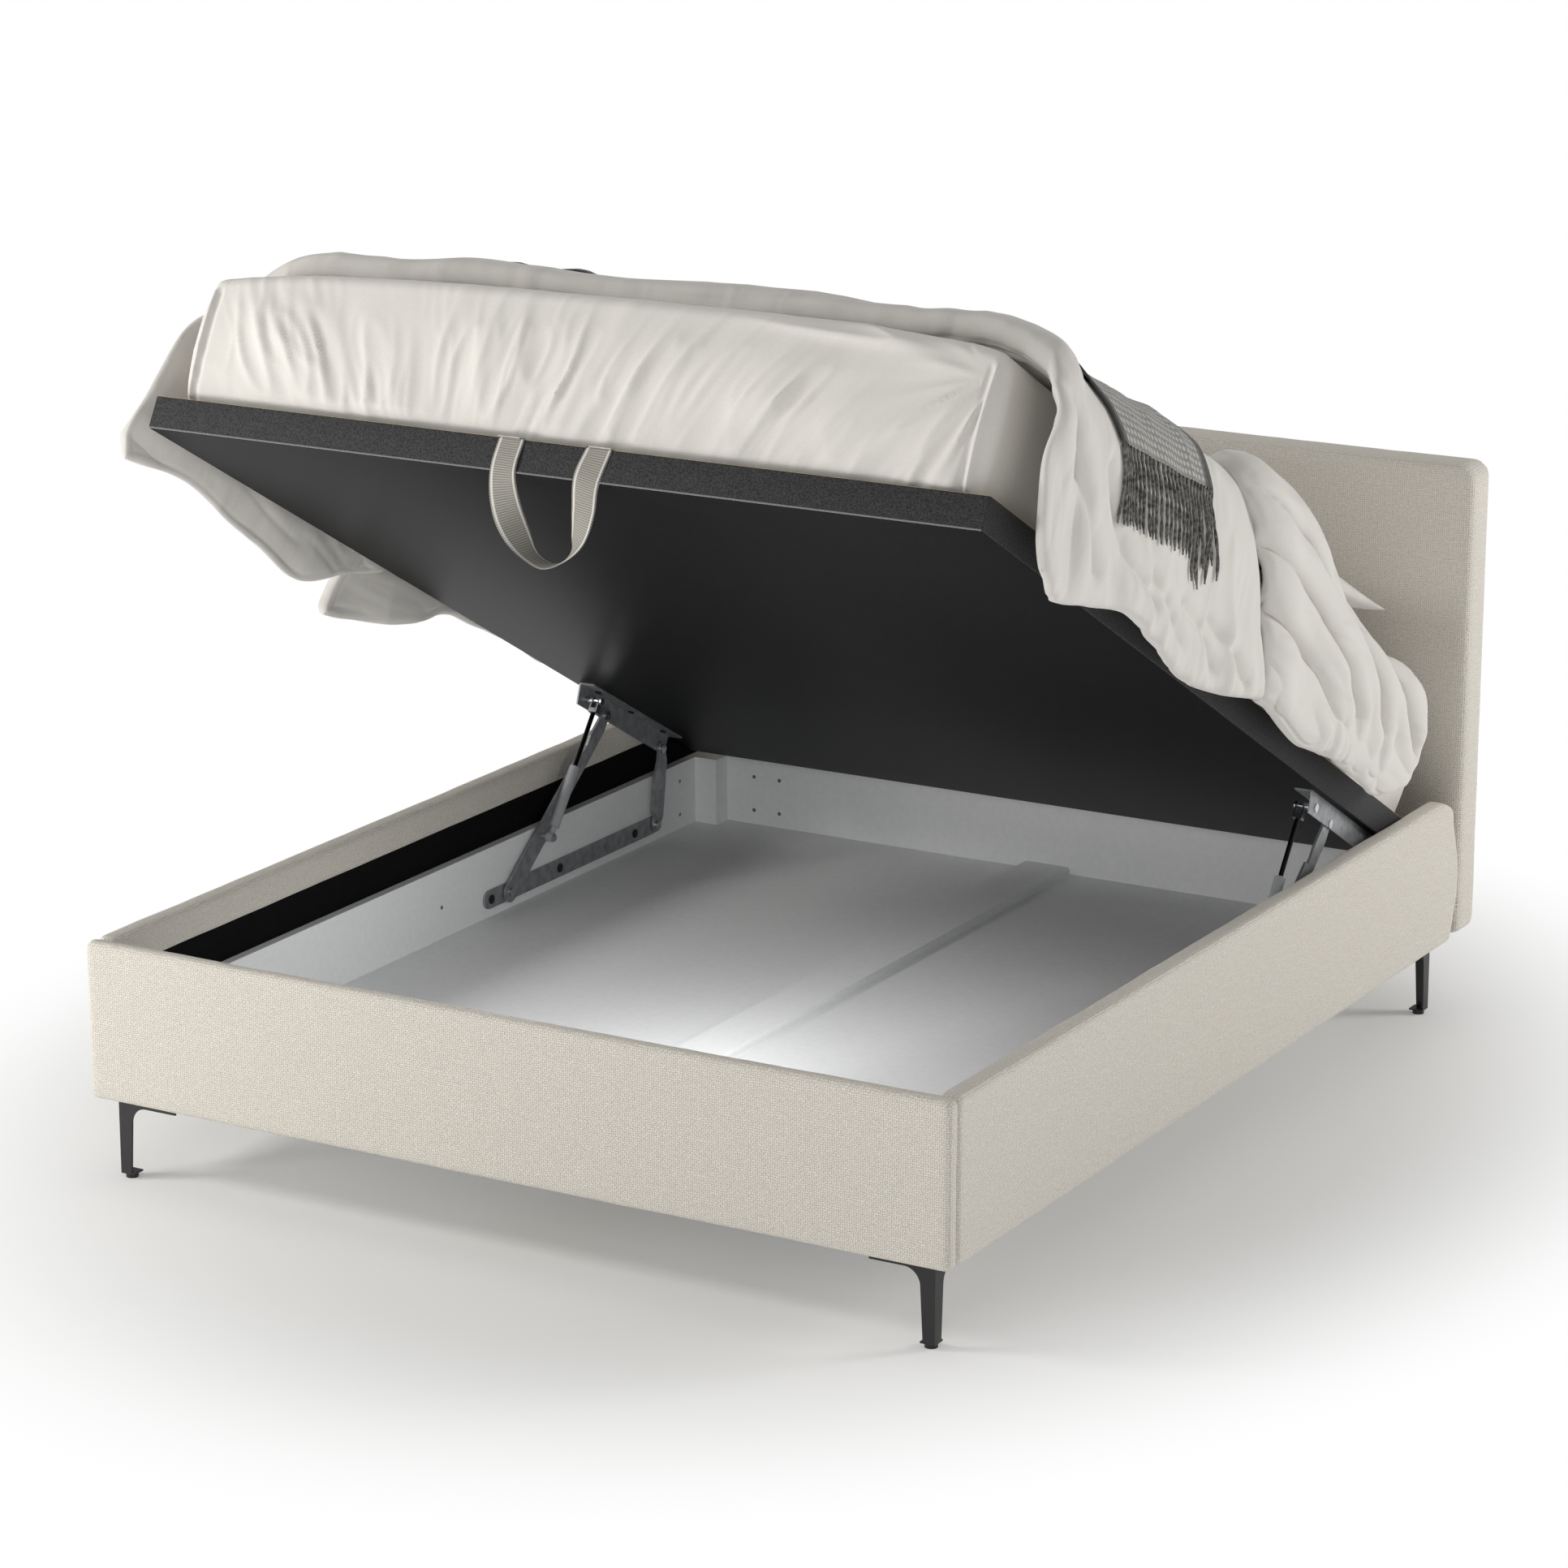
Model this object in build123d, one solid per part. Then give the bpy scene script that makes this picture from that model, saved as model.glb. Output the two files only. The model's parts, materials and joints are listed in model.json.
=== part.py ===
from build123d import *
import os
from math import asin, atan2, cos, degrees, hypot, radians, sin, sqrt

# Ottoman storage bed with a gas-lift lid, modelled open.
# X runs across the bed, Y from the foot to the headboard, Z up.
# The origin is on the floor, at the centre of the bed's plan.
# Lengths are millimetres, angles degrees.

# Whole bed
frame_width = 1680.0
overall_length = 2138.0
frame_top = 430.0
leg_height = 145.0

# Upholstered foot panel and side rails
foot_thickness = 30.0
rail_thickness = 40.0
board_thickness = 18.0
foot_board_thickness = 16.0
cover_thickness = 2.0
edge_padding = 12.0
turn_down = 57.0
foot_edge_radius = 13.0
foot_back_radius = 6.0
rail_edge_radius = 14.0
rail_inner_radius = 6.0
rail_corner_radius = 46.0
rail_end_setback_top = 34.0
rail_end_setback_bottom = 30.0
rail_end_bulge_share = 0.45
rail_end_gap = 1.0
board_end_gap = 60.0

# Upholstered headboard
headboard_side_setback = 2.0
headboard_height = 913.0
headboard_thickness = 91.0
headboard_corner_radius = 32.0
headboard_edge_radius = 22.0
headboard_board_thickness = 25.0
headboard_board_margin = 30.0
headboard_front_padding = 32.0

# Storage box
wall_thickness = 18.0
wall_top = 308.0
floor_top = 172.0
floor_thickness = 6.0
floor_joint_gap = 1.0
box_head_setback = 74.0
head_wall_thickness = 32.0
ledge_width = 22.0
ledge_height = 18.0
bearer_width = 60.0
batten_width = 100.0
batten_height = 14.0
batten_chamfer = 4.0
block_width = 50.0
block_depth = 44.0
strut_post_width = 96.0
strut_post_height = 150.0
strut_post_base = 4.0

# Screws that hold the box together
box_screw_head_radius = 4.0
box_screw_head_height = 2.0
box_screw_radius = 2.0
box_screw_length = 30.0
head_screw_inset = 113.0
head_screw_pitch = 59.0
screw_row_top = 271.0
screw_row_bottom = 201.0
wall_screw_end_gap = 104.0
middle_screw_share = 0.504
middle_screw_height = 233.0

# Corner legs
leg_inset = 40.0
leg_front_inset = 28.0
leg_back_inset = 129.0
leg_plate = 4.0
leg_arm_length = 120.0
leg_arm_height = 12.0
leg_top_width = 27.0
leg_bottom_width = 22.0
leg_fillet = 30.0
leg_flange_width = 24.0
leg_flange_thickness = 3.0
leg_sole_width = 27.0
glide_radius = 11.0
glide_height = 8.0
glide_stem_radius = 4.0
leg_screw_radius = 2.5
leg_screw_head_radius = 5.0
leg_screw_head_height = 2.5
leg_screw_length = 16.0
leg_screw_place_shares = (0.38, 0.82)

# Lid
lid_side_setback = 45.0
lid_head_gap = 8.5
lid_thickness = 58.0
lid_foot_gap = 4.5
lid_seat_gap = 0.3
lid_cover_thickness = 1.5
lid_base_thickness = 4.0
lid_deck_thickness = 12.0
lid_side_member = 60.0
lid_end_member = 40.0
lid_cross_member = 34.0
lid_cross_count = 4
lid_corner_radius = 5.0

# Lift linkage, one each side
arm_length = 442.0
arm_closed_angle = 8.8
arm_swing = 28.9
lid_opening = 29.1
pivot_from_lid_back = 378.0
pivot_below_lid = 33.0
rear_pivot_spacing = 240.0
strut_pivot_from_lid_back = 458.0
strut_pivot_below_lid = 24.0
strut_pivot_on_arm = 139.0

plate_thickness = 5.0
web_thickness = 3.0
web_wall_gap = 3.0
web_arm_gap = 1.0
web_depth = 41.0
flange_width = 35.0
bracket_front_overhang = 34.0
bracket_front_slant = 8.0
bracket_rear_overhang = 20.0
bar_height = 36.0
bar_front_overhang = 82.0
bar_rear_overhang = 17.0
front_arm_width = 40.0
front_arm_tip_width = 28.0
rear_arm_width = 42.0
rear_arm_neck_width = 27.0
arm_notch = 5.0
front_arm_upper_shares = (0.45, 0.7, 0.765, 0.775, 0.81, 0.86)
front_arm_lower_shares = (0.98, 0.94, 0.8, 0.66, 0.5)
rear_arm_upper_shares = (0.1, 0.2, 0.7, 0.84)
rear_arm_lower_shares = (0.95, 0.84, 0.1, 0.03)

pin_radius = 5.0
pin_clearance = 0.06
rivet_head_radius = 9.0
rivet_head_height = 4.0
cap_radius = 8.0
cap_height = 1.5
open_pivot_gap = 0.4
washer_radius = 8.5

bar_screw_radius = 3.0
bar_screw_head_radius = 9.0
bar_screw_head_height = 1.6
bar_screw_bite = 13.0
bar_screw_place_shares = (-0.109, 0.343, 0.861)
bar_hole_radius = 2.5
bar_hole_place_shares = (0.287, 0.654)
bracket_screw_radius = 2.5
bracket_screw_head_radius = 6.0
bracket_screw_head_height = 3.0
bracket_screw_bite = 26.0
bracket_screw_place_shares = (0.13, 0.5, 0.87)

# Gas struts
strut_cylinder_radius = 10.0
strut_chamber_radius = 8.5
strut_gland = 12.0
strut_cylinder_top = 149.0
strut_cylinder_bottom = 22.0
strut_chamber_bottom = 34.0
strut_neck_radius = 5.5
strut_rod_radius = 4.5
strut_piston_radius = 8.4
strut_piston_length = 8.0
strut_rod_inside = 32.0
strut_eye_radius = 9.0
strut_eye_width = 14.0
strut_inset = 32.0
stud_radius = 4.0
stud_head_radius = 7.0
stud_head_height = 3.0
stud_shoulder_radius = 6.0
clevis_ear = 3.0
clevis_width = 18.0
clevis_length = 26.0
clevis_base = 9.0
clevis_half_height = 7.0

# Webbing pull handle on the lid's front edge
handle_strap_width = 42.0
handle_strap_thickness = 2.0
handle_gap = 2.0
handle_tab_length = 8.0
handle_span = 174.0
handle_drop = 218.0
handle_full_twist = 90.0
handle_side_shares = (-0.5, -0.53, -0.48, -0.36, -0.17, 0.02, 0.2, 0.33, 0.39, 0.41, 0.5)
handle_drop_shares = (0.0, 0.27, 0.52, 0.75, 0.94, 1.0, 0.93, 0.74, 0.52, 0.27, 0.0)
handle_twist_shares = (0.0, 0.0, 0.25, 0.65, 1.0, 1.0, 0.9, 0.4, 0.1, 0.0, 0.0)

# Mattress
mattress_side_gap = 27.0
mattress_back_gap = 36.0
mattress_height = 250.0
mattress_front_gap = 10.0
mattress_side_draw = 16.0
mattress_crown = 36.0
mattress_corner_radius = 70.0
mattress_wall = 14.0
mattress_core_share = 0.6
soft_gap = 0.3
duvet_wall = 12.0

# Duvet, folded duvet, throw and pillows, in the lid's own directions
duvet_loft = 42.0
duvet_hem_thickness = 12.0
rail_clearance = 3.5
duvet_front = 110.0
duvet_length_share = 0.47
duvet_fold_depth = 9.0
cloth_flat_share = 0.66
cloth_turn_share = 0.93
cloth_turn_drop_share = 0.12
cloth_shoulder_share = 0.6
cloth_side_share = 0.28
cloth_low_share = 0.35
cloth_hem_fold_share = 0.6
cloth_side_fold_share = 0.5
cloth_inner_flat_share = 0.5
cloth_inner_out_shares = (0.25, 0.7)
cloth_inner_drop_shares = (0.24, 0.45)
cover_gap = 8.0
folded_duvet_back_gap = 78.0
folded_duvet_loft = 92.0
throw_thickness = 4.0
throw_skipped_section_count = 2
fringe_length = 110.0
fringe_thickness = 3.0
pillow_side_gap = 23.0
pillow_length = 390.0
pillow_thickness = 120.0
pillow_draw = 26.0
pillow_wall_share = 0.84
pillow_from_centre = 55.0
pillow_back_gap = 88.0

cut_overrun = 1.0

# Places worked out from the sizes above
half_width = frame_width / 2
foot_front = -overall_length / 2
headboard_back = overall_length / 2
headboard_front = headboard_back - headboard_thickness
headboard_width = frame_width - 2 * headboard_side_setback
foot_inner = foot_front + foot_thickness
rail_inner = half_width - rail_thickness
turn_down_bottom = frame_top - turn_down
frame_bottom = leg_height
lining_thickness = cover_thickness

wall_outer = rail_inner
wall_inner = wall_outer - wall_thickness - cover_thickness
box_foot_face = foot_inner + wall_thickness
box_head = headboard_front - box_head_setback
head_wall_back = box_head + head_wall_thickness
floor_bottom = floor_top - floor_thickness

lid_closed_front = foot_inner + lid_foot_gap
lid_width = frame_width - 2 * lid_side_setback
lid_length = overall_length - foot_thickness - lid_foot_gap - headboard_thickness - lid_head_gap
lid_half = lid_width / 2
lid_radians = radians(lid_opening)
closed_radians = radians(arm_closed_angle)
open_radians = radians(arm_closed_angle + arm_swing)
pivot_from_lid_front = lid_length - pivot_from_lid_back
strut_pivot_from_lid_front = lid_length - strut_pivot_from_lid_back

bar_inner = wall_inner - plate_thickness
web_outer = wall_inner - web_wall_gap
web_inner = web_outer - web_thickness
arm_outer = web_inner - web_arm_gap
arm_inner = arm_outer - plate_thickness
strut_centre = wall_inner - strut_inset

mattress_width = lid_width - 2 * mattress_side_gap
mattress_length = lid_length - mattress_front_gap - mattress_back_gap
mattress_back = mattress_front_gap + mattress_length
duvet_length = mattress_length * duvet_length_share
folded_duvet_front = duvet_front + duvet_length + cover_gap
folded_duvet_length = mattress_back - folded_duvet_back_gap - folded_duvet_front
pillow_width = mattress_width / 2 - pillow_from_centre - pillow_side_gap
pillow_front = mattress_back - pillow_back_gap - pillow_length


def turned(point, angle):
    """A (y, z) pair turned by an angle in radians about the X axis."""
    y, z = point
    return y * cos(angle) - z * sin(angle), y * sin(angle) + z * cos(angle)


def plus(a, b):
    return a[0] + b[0], a[1] + b[1]


def minus(a, b):
    return a[0] - b[0], a[1] - b[1]


def bearing(a, b):
    """The angle in degrees of the line from a to b, in the side view."""
    y, z = minus(b, a)
    return degrees(atan2(z, y))


def solve_linkage():
    """Pivot places of the lift linkage, closed and open, in the side view."""
    lid_closed = (lid_closed_front, wall_top + lid_seat_gap)
    front_lid_pivot = (pivot_from_lid_front, -pivot_below_lid)
    rear_lid_pivot = (pivot_from_lid_front + rear_pivot_spacing, -pivot_below_lid)
    strut_lid_pivot = (strut_pivot_from_lid_front, -strut_pivot_below_lid)
    upper_closed = plus(lid_closed, front_lid_pivot)
    front_base = minus(upper_closed, turned((arm_length, 0), closed_radians))
    upper_open = plus(front_base, turned((arm_length, 0), open_radians))
    lid_open = minus(upper_open, turned(front_lid_pivot, -lid_radians))
    rear_closed = plus(lid_closed, rear_lid_pivot)
    rear_open = plus(lid_open, turned(rear_lid_pivot, -lid_radians))
    middle = ((rear_closed[0] + rear_open[0]) / 2, (rear_closed[1] + rear_open[1]) / 2)
    step = minus(rear_closed, rear_open)
    rear_base_y = middle[0] - (front_base[1] - middle[1]) * step[1] / step[0]
    rear_base = (rear_base_y, front_base[1])
    strut_open = plus(lid_open, turned(strut_lid_pivot, -lid_radians))
    strut_closed = plus(lid_closed, strut_lid_pivot)
    foot_open = plus(front_base, turned((strut_pivot_on_arm, 0), open_radians))
    foot_closed = plus(front_base, turned((strut_pivot_on_arm, 0), closed_radians))
    return {
        "lid_open": lid_open,
        "front_base": front_base,
        "rear_base": rear_base,
        "upper_open": upper_open,
        "rear_open": rear_open,
        "rear_closed": rear_closed,
        "strut_foot": foot_open,
        "strut_top": strut_open,
        "strut_foot_closed": foot_closed,
        "strut_top_closed": strut_closed,
    }


linkage = solve_linkage()
front_base = linkage["front_base"]
rear_base = linkage["rear_base"]
rear_arm_length = hypot(*minus(linkage["rear_open"], rear_base))
rear_arm_angle = bearing(rear_base, linkage["rear_open"])
strut_length = hypot(*minus(linkage["strut_top"], linkage["strut_foot"]))
strut_closed_length = hypot(*minus(linkage["strut_top_closed"], linkage["strut_foot_closed"]))
strut_angle = bearing(linkage["strut_foot"], linkage["strut_top"])
arm_open_angle = arm_closed_angle + arm_swing

lid_place = Pos(0, *linkage["lid_open"]) * Rot(-lid_opening, 0, 0)
mattress_top = lid_thickness + soft_gap + mattress_height


def slab(x0, x1, y0, y1, z0, z1):
    """A box between two opposite corners."""
    middle = ((x0 + x1) / 2, (y0 + y1) / 2, (z0 + z1) / 2)
    return Pos(*middle) * Box(abs(x1 - x0), abs(y1 - y0), abs(z1 - z0))


def side_plate(outline, x0, x1):
    """A side-view (y, z) outline given thickness from x0 to x1."""
    face = Plane.YZ.offset(min(x0, x1)) * make_face(outline)
    return extrude(face, amount=abs(x1 - x0))


def rod_x(x0, x1, y, z, radius):
    """A round bar along X between x0 and x1."""
    return Pos((x0 + x1) / 2, y, z) * Rot(0, 90, 0) * Cylinder(radius, abs(x1 - x0))


def rod_y(y0, y1, x, z, radius):
    """A round bar along Y between y0 and y1."""
    return Pos(x, (y0 + y1) / 2, z) * Rot(90, 0, 0) * Cylinder(radius, abs(y1 - y0))


def rod_z(z0, z1, x, y, radius):
    """A round bar along Z between z0 and z1."""
    return Pos(x, y, (z0 + z1) / 2) * Cylinder(radius, abs(z1 - z0))


def other_side(shape):
    """The same piece on the other side of the bed."""
    return mirror(shape, about=Plane.YZ)


def group(shapes):
    return Compound(children=list(shapes))


def foot_panel_cover():
    body = slab(-half_width, half_width, foot_front, foot_inner, frame_bottom, frame_top)
    front_edges = body.faces().sort_by(Axis.Y)[0].edges()
    body = fillet(front_edges, foot_edge_radius)
    top_back = body.edges().filter_by(Axis.X).group_by(Axis.Z)[-1].sort_by(Axis.Y)[-1]
    body = fillet(top_back, foot_back_radius)
    inner_x = half_width - edge_padding
    board_front = foot_inner - lining_thickness - foot_board_thickness
    low = frame_bottom - cut_overrun
    body -= slab(-inner_x, inner_x, board_front, foot_inner - lining_thickness, low, frame_top - edge_padding)
    lining_x = rail_inner
    body -= slab(-lining_x, lining_x, board_front, foot_inner + cut_overrun, low, turn_down_bottom)
    return body


def foot_panel_board():
    inner_x = half_width - edge_padding
    board_front = foot_inner - lining_thickness - foot_board_thickness
    return slab(
        -inner_x, inner_x, board_front, foot_inner - lining_thickness, frame_bottom, frame_top - edge_padding
    )


def foot_panel_lining():
    return slab(
        -rail_inner, rail_inner, foot_inner - lining_thickness, foot_inner, frame_bottom, turn_down_bottom
    )


def rail_side_outline():
    """Side view of a rail: square at the foot, rounded and bowed at the head."""
    end = headboard_front - rail_end_gap
    bow = frame_bottom + (frame_top - frame_bottom) * rail_end_bulge_share
    low = (headboard_front - rail_end_setback_bottom, frame_bottom)
    high = (headboard_front - rail_end_setback_top, frame_top - rail_corner_radius)
    top_corner = (high[0] - rail_corner_radius, frame_top)
    bow_arc = ThreePointArc(low, (end, bow), high)
    centre = (top_corner[0], high[1])
    reach = rail_corner_radius * sqrt(0.5)
    corner = ThreePointArc(high, (centre[0] + reach, centre[1] + reach), top_corner)
    lines = Polyline(top_corner, (foot_inner, frame_top), (foot_inner, frame_bottom), low)
    return bow_arc + corner + lines


def rail_cover():
    body = side_plate(rail_side_outline(), rail_inner, half_width)
    outer = body.faces().sort_by(Axis.X)[-1]
    foot_end = outer.edges().sort_by(Axis.Y)[0]
    rim = [edge for edge in outer.edges() if edge.center() != foot_end.center()]
    body = fillet(rim, rail_edge_radius)
    inner = body.faces().sort_by(Axis.X)[0]
    top = inner.edges().filter_by(Axis.Y).sort_by(Axis.Z)[-1]
    body = fillet(top, rail_inner_radius)
    board_outer = rail_inner + lining_thickness + board_thickness
    end = headboard_front - board_end_gap
    start = foot_inner - cut_overrun
    low = frame_bottom - cut_overrun
    body -= slab(rail_inner + lining_thickness, board_outer, start, end, low, frame_top - edge_padding)
    body -= slab(rail_inner - cut_overrun, board_outer, start, end, low, turn_down_bottom)
    return body


def wall_screw_places():
    """(y, z) places of the screws through a side wall into its rail board."""
    places = []
    for y in (box_head - wall_screw_end_gap, box_foot_face + wall_screw_end_gap):
        places += [(y, screw_row_top), (y, screw_row_bottom)]
    middle = box_head - (box_head - box_foot_face) * middle_screw_share
    places.append((middle, middle_screw_height))
    return places


def rail_board():
    inner = rail_inner + lining_thickness
    end = headboard_front - board_end_gap
    board = slab(inner, inner + board_thickness, foot_inner, end, frame_bottom, frame_top - edge_padding)
    tip = wall_inner + box_screw_length
    for y, z in wall_screw_places():
        board -= rod_x(inner - cut_overrun, tip, y, z, box_screw_radius)
    return board


def rail_lining():
    end = headboard_front - board_end_gap
    strip = slab(rail_inner, rail_inner + lining_thickness, foot_inner, end, frame_bottom, turn_down_bottom)
    for y, z in wall_screw_places():
        strip -= rod_x(
            rail_inner - cut_overrun, rail_inner + lining_thickness + cut_overrun, y, z, box_screw_radius
        )
    return strip


def headboard_cover():
    half = headboard_width / 2
    top = frame_bottom + headboard_height
    body = slab(-half, half, headboard_front, headboard_back, frame_bottom, top)
    corners = body.edges().filter_by(Axis.Y).group_by(Axis.Z)[-1]
    body = fillet(corners, headboard_corner_radius)
    front = body.faces().sort_by(Axis.Y)[0]
    back = body.faces().sort_by(Axis.Y)[-1]
    rim = [edge for face in (front, back) for edge in face.edges() if edge.center().Z > frame_bottom + 1e-3]
    body = fillet(rim, headboard_edge_radius)
    body -= headboard_slot(cut_overrun)
    for x, z in head_screw_places():
        body -= rod_y(headboard_front - cut_overrun, headboard_screw_tip(), x, z, box_screw_radius)
    return body


def headboard_slot(overrun=0.0):
    half = headboard_width / 2 - headboard_board_margin
    top = frame_bottom + headboard_height - headboard_board_margin
    front = headboard_front + headboard_front_padding
    return slab(-half, half, front, front + headboard_board_thickness, frame_bottom - overrun, top)


def headboard_board():
    return headboard_slot()


def head_screw_places():
    """(x, z) places of the screws through the head wall into its posts."""
    outer = wall_inner - head_screw_inset
    columns = (outer, outer - head_screw_pitch)
    return [(side * x, z) for side in (-1, 1) for x in columns for z in (screw_row_top, screw_row_bottom)]


def headboard_screw_tip():
    return box_head + box_screw_length


def side_wall():
    outer = wall_inner + wall_thickness
    wall = slab(wall_inner, outer, box_foot_face, box_head, frame_bottom, wall_top)
    for y, z in wall_screw_places():
        wall -= rod_x(wall_inner - cut_overrun, outer + cut_overrun, y, z, box_screw_radius)
        head = wall_inner + box_screw_head_height
        wall -= rod_x(wall_inner - cut_overrun, head, y, z, box_screw_head_radius)
    for y, z in bar_screw_places():
        wall -= rod_x(wall_inner - cut_overrun, wall_inner + bar_screw_bite, y, z, bar_screw_radius)
    for x, y in leg_screw_places():
        if box_foot_face < y < box_head:
            wall -= rod_z(frame_bottom - cut_overrun, frame_bottom + leg_screw_length, x, y, leg_screw_radius)
    return wall


def end_wall(y0, y1):
    outer = wall_inner + wall_thickness
    wall = slab(-outer, outer, y0, y1, frame_bottom, wall_top)
    for x, y in leg_screw_places():
        if y0 < y < y1:
            for side in (-1, 1):
                wall -= rod_z(
                    frame_bottom - cut_overrun, frame_bottom + leg_screw_length, side * x, y, leg_screw_radius
                )
    return wall


def foot_wall():
    return end_wall(foot_inner, box_foot_face)


def head_wall():
    wall = end_wall(box_head, head_wall_back)
    for x, z in head_screw_places():
        wall -= rod_y(box_head - cut_overrun, head_wall_back + cut_overrun, x, z, box_screw_radius)
        wall -= rod_y(box_head - cut_overrun, box_head + box_screw_head_height, x, z, box_screw_head_radius)
    return wall


def headboard_post():
    """Block that joins the head wall to the headboard, on the +X side."""
    centre = wall_inner - head_screw_inset - head_screw_pitch / 2
    half = strut_post_width / 2
    base = frame_bottom + strut_post_base
    post = slab(centre - half, centre + half, head_wall_back, headboard_front, base, base + strut_post_height)
    for x, z in head_screw_places():
        if x > 0:
            post -= rod_y(head_wall_back - cut_overrun, headboard_screw_tip(), x, z, box_screw_radius)
    return post


def wall_screws():
    """Countersunk screws with their heads level with the wall's inner face."""
    screws = []
    for side in (-1, 1):
        for y, z in wall_screw_places():
            head = rod_x(
                side * wall_inner, side * (wall_inner + box_screw_head_height), y, z, box_screw_head_radius
            )
            shank = rod_x(side * wall_inner, side * (wall_inner + box_screw_length), y, z, box_screw_radius)
            screws.append(head + shank)
    for x, z in head_screw_places():
        head = rod_y(box_head, box_head + box_screw_head_height, x, z, box_screw_head_radius)
        screws.append(head + rod_y(box_head, headboard_screw_tip(), x, z, box_screw_radius))
    return group(screws)


def floor_panel():
    return slab(floor_joint_gap / 2, wall_inner, box_foot_face, box_head, floor_bottom, floor_top)


def floor_ledges():
    low = floor_bottom - ledge_height
    inner = wall_inner - ledge_width
    sides = [
        slab(side * inner, side * wall_inner, box_foot_face, box_head, low, floor_bottom)
        for side in (-1, 1)
    ]
    foot = slab(-inner, inner, box_foot_face, box_foot_face + ledge_width, low, floor_bottom)
    head = slab(-inner, inner, box_head - ledge_width, box_head, low, floor_bottom)
    return group(sides + [foot, head])


def centre_bearer():
    half = bearer_width / 2
    start = box_foot_face + ledge_width
    end = box_head - ledge_width
    return slab(-half, half, start, end, floor_bottom - ledge_height, floor_bottom)


def centre_batten():
    half = batten_width / 2
    body = slab(-half, half, box_foot_face, box_head, floor_top, floor_top + batten_height)
    top = body.faces().sort_by(Axis.Z)[-1]
    return chamfer(top.edges().filter_by(Axis.Y), batten_chamfer)


def corner_block(at_head):
    y0 = box_head - block_depth if at_head else box_foot_face
    return slab(wall_inner - block_width, wall_inner, y0, y0 + block_depth, floor_top, wall_top)


def leg_corner(at_head):
    """Plan place of a leg's outer corner on the +X side, and its way inwards in Y."""
    x = half_width - leg_inset
    if at_head:
        return x, headboard_back - leg_back_inset, -1
    return x, foot_front + leg_front_inset, 1


def leg_outline():
    """One face of a corner leg: a tapered post that sweeps into a thin arm."""
    low = glide_height
    under_arm = frame_bottom - leg_arm_height
    fillet_foot = (leg_top_width, under_arm - leg_fillet)
    fillet_end = (leg_top_width + leg_fillet, under_arm)
    centre = (fillet_end[0], fillet_foot[1])
    bow = (centre[0] - leg_fillet * cos(radians(45)), centre[1] + leg_fillet * sin(radians(45)))
    arc = ThreePointArc(fillet_foot, bow, fillet_end)
    rest = Polyline(
        fillet_end,
        (leg_arm_length, under_arm),
        (leg_arm_length, frame_bottom),
        (0, frame_bottom),
        (0, low),
        (leg_bottom_width, low),
        fillet_foot,
    )
    return arc + rest


def corner_leg(at_head):
    """Black steel leg on the +X side, built at the foot and turned for the head."""
    x, y, inward = leg_corner(at_head)
    across = Plane(origin=(0, 0, 0), x_dir=(-1, 0, 0), z_dir=(0, 1, 0))
    face = extrude(across * make_face(leg_outline()), amount=leg_plate)
    along = side_plate(leg_outline(), -leg_plate, 0)
    top = frame_bottom
    flange = slab(-leg_arm_length, 0, 0, leg_flange_width, top - leg_flange_thickness, top)
    flange += slab(-leg_flange_width, 0, 0, leg_arm_length, top - leg_flange_thickness, top)
    sole = slab(-leg_sole_width, 0, 0, leg_sole_width, glide_height, glide_height + leg_flange_thickness)
    leg = face + along + flange + sole
    centre = leg_sole_width / 2
    stem_hole = glide_stem_radius + pin_clearance
    leg -= rod_z(0, glide_height + 2 * leg_flange_thickness, -centre, centre, stem_hole)
    for sx, sy in leg_screw_offsets():
        leg -= rod_z(top - 2 * leg_flange_thickness, top + cut_overrun, -sx, sy, leg_screw_radius)
    if inward < 0:
        leg = mirror(leg, about=Plane.XZ)
    return Pos(x, y, 0) * leg


def leg_screw_offsets():
    """Places of a leg's screws, measured inwards from its outer corner."""
    middle = (leg_flange_width + leg_plate) / 2
    runs = [share * leg_arm_length for share in leg_screw_place_shares]
    return [(run, middle) for run in runs] + [(middle, run) for run in runs]


def leg_screw_places():
    """(x, y) places of the leg screws on the +X side."""
    places = []
    for at_head in (False, True):
        x, y, inward = leg_corner(at_head)
        places += [(x - sx, y + inward * sy) for sx, sy in leg_screw_offsets()]
    return places


def leg_screws():
    screws = []
    for x, y in leg_screw_places():
        for side in (-1, 1):
            under = frame_bottom - leg_flange_thickness
            head = rod_z(under - leg_screw_head_height, under, side * x, y, leg_screw_head_radius)
            low = under - leg_screw_head_height
            high = frame_bottom + leg_screw_length
            shank = rod_z(low, high, side * x, y, leg_screw_radius)
            screws.append(head + shank)
    return group(screws)


def leg_glides():
    glides = []
    for at_head in (False, True):
        x, y, inward = leg_corner(at_head)
        centre_x = x - leg_sole_width / 2
        centre_y = y + inward * leg_sole_width / 2
        for side in (-1, 1):
            pad = rod_z(0, glide_height, side * centre_x, centre_y, glide_radius)
            stem = rod_z(0, glide_height + leg_flange_thickness, side * centre_x, centre_y, glide_stem_radius)
            glides.append(pad + stem)
    return group(glides)


def bar_span():
    """Y places of the base bar's two ends."""
    return front_base[0] - bar_front_overhang, rear_base[0] + bar_rear_overhang


def bar_screw_places():
    run = rear_base[0] - front_base[0]
    return [(front_base[0] + share * run, front_base[1]) for share in bar_screw_place_shares]


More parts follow.
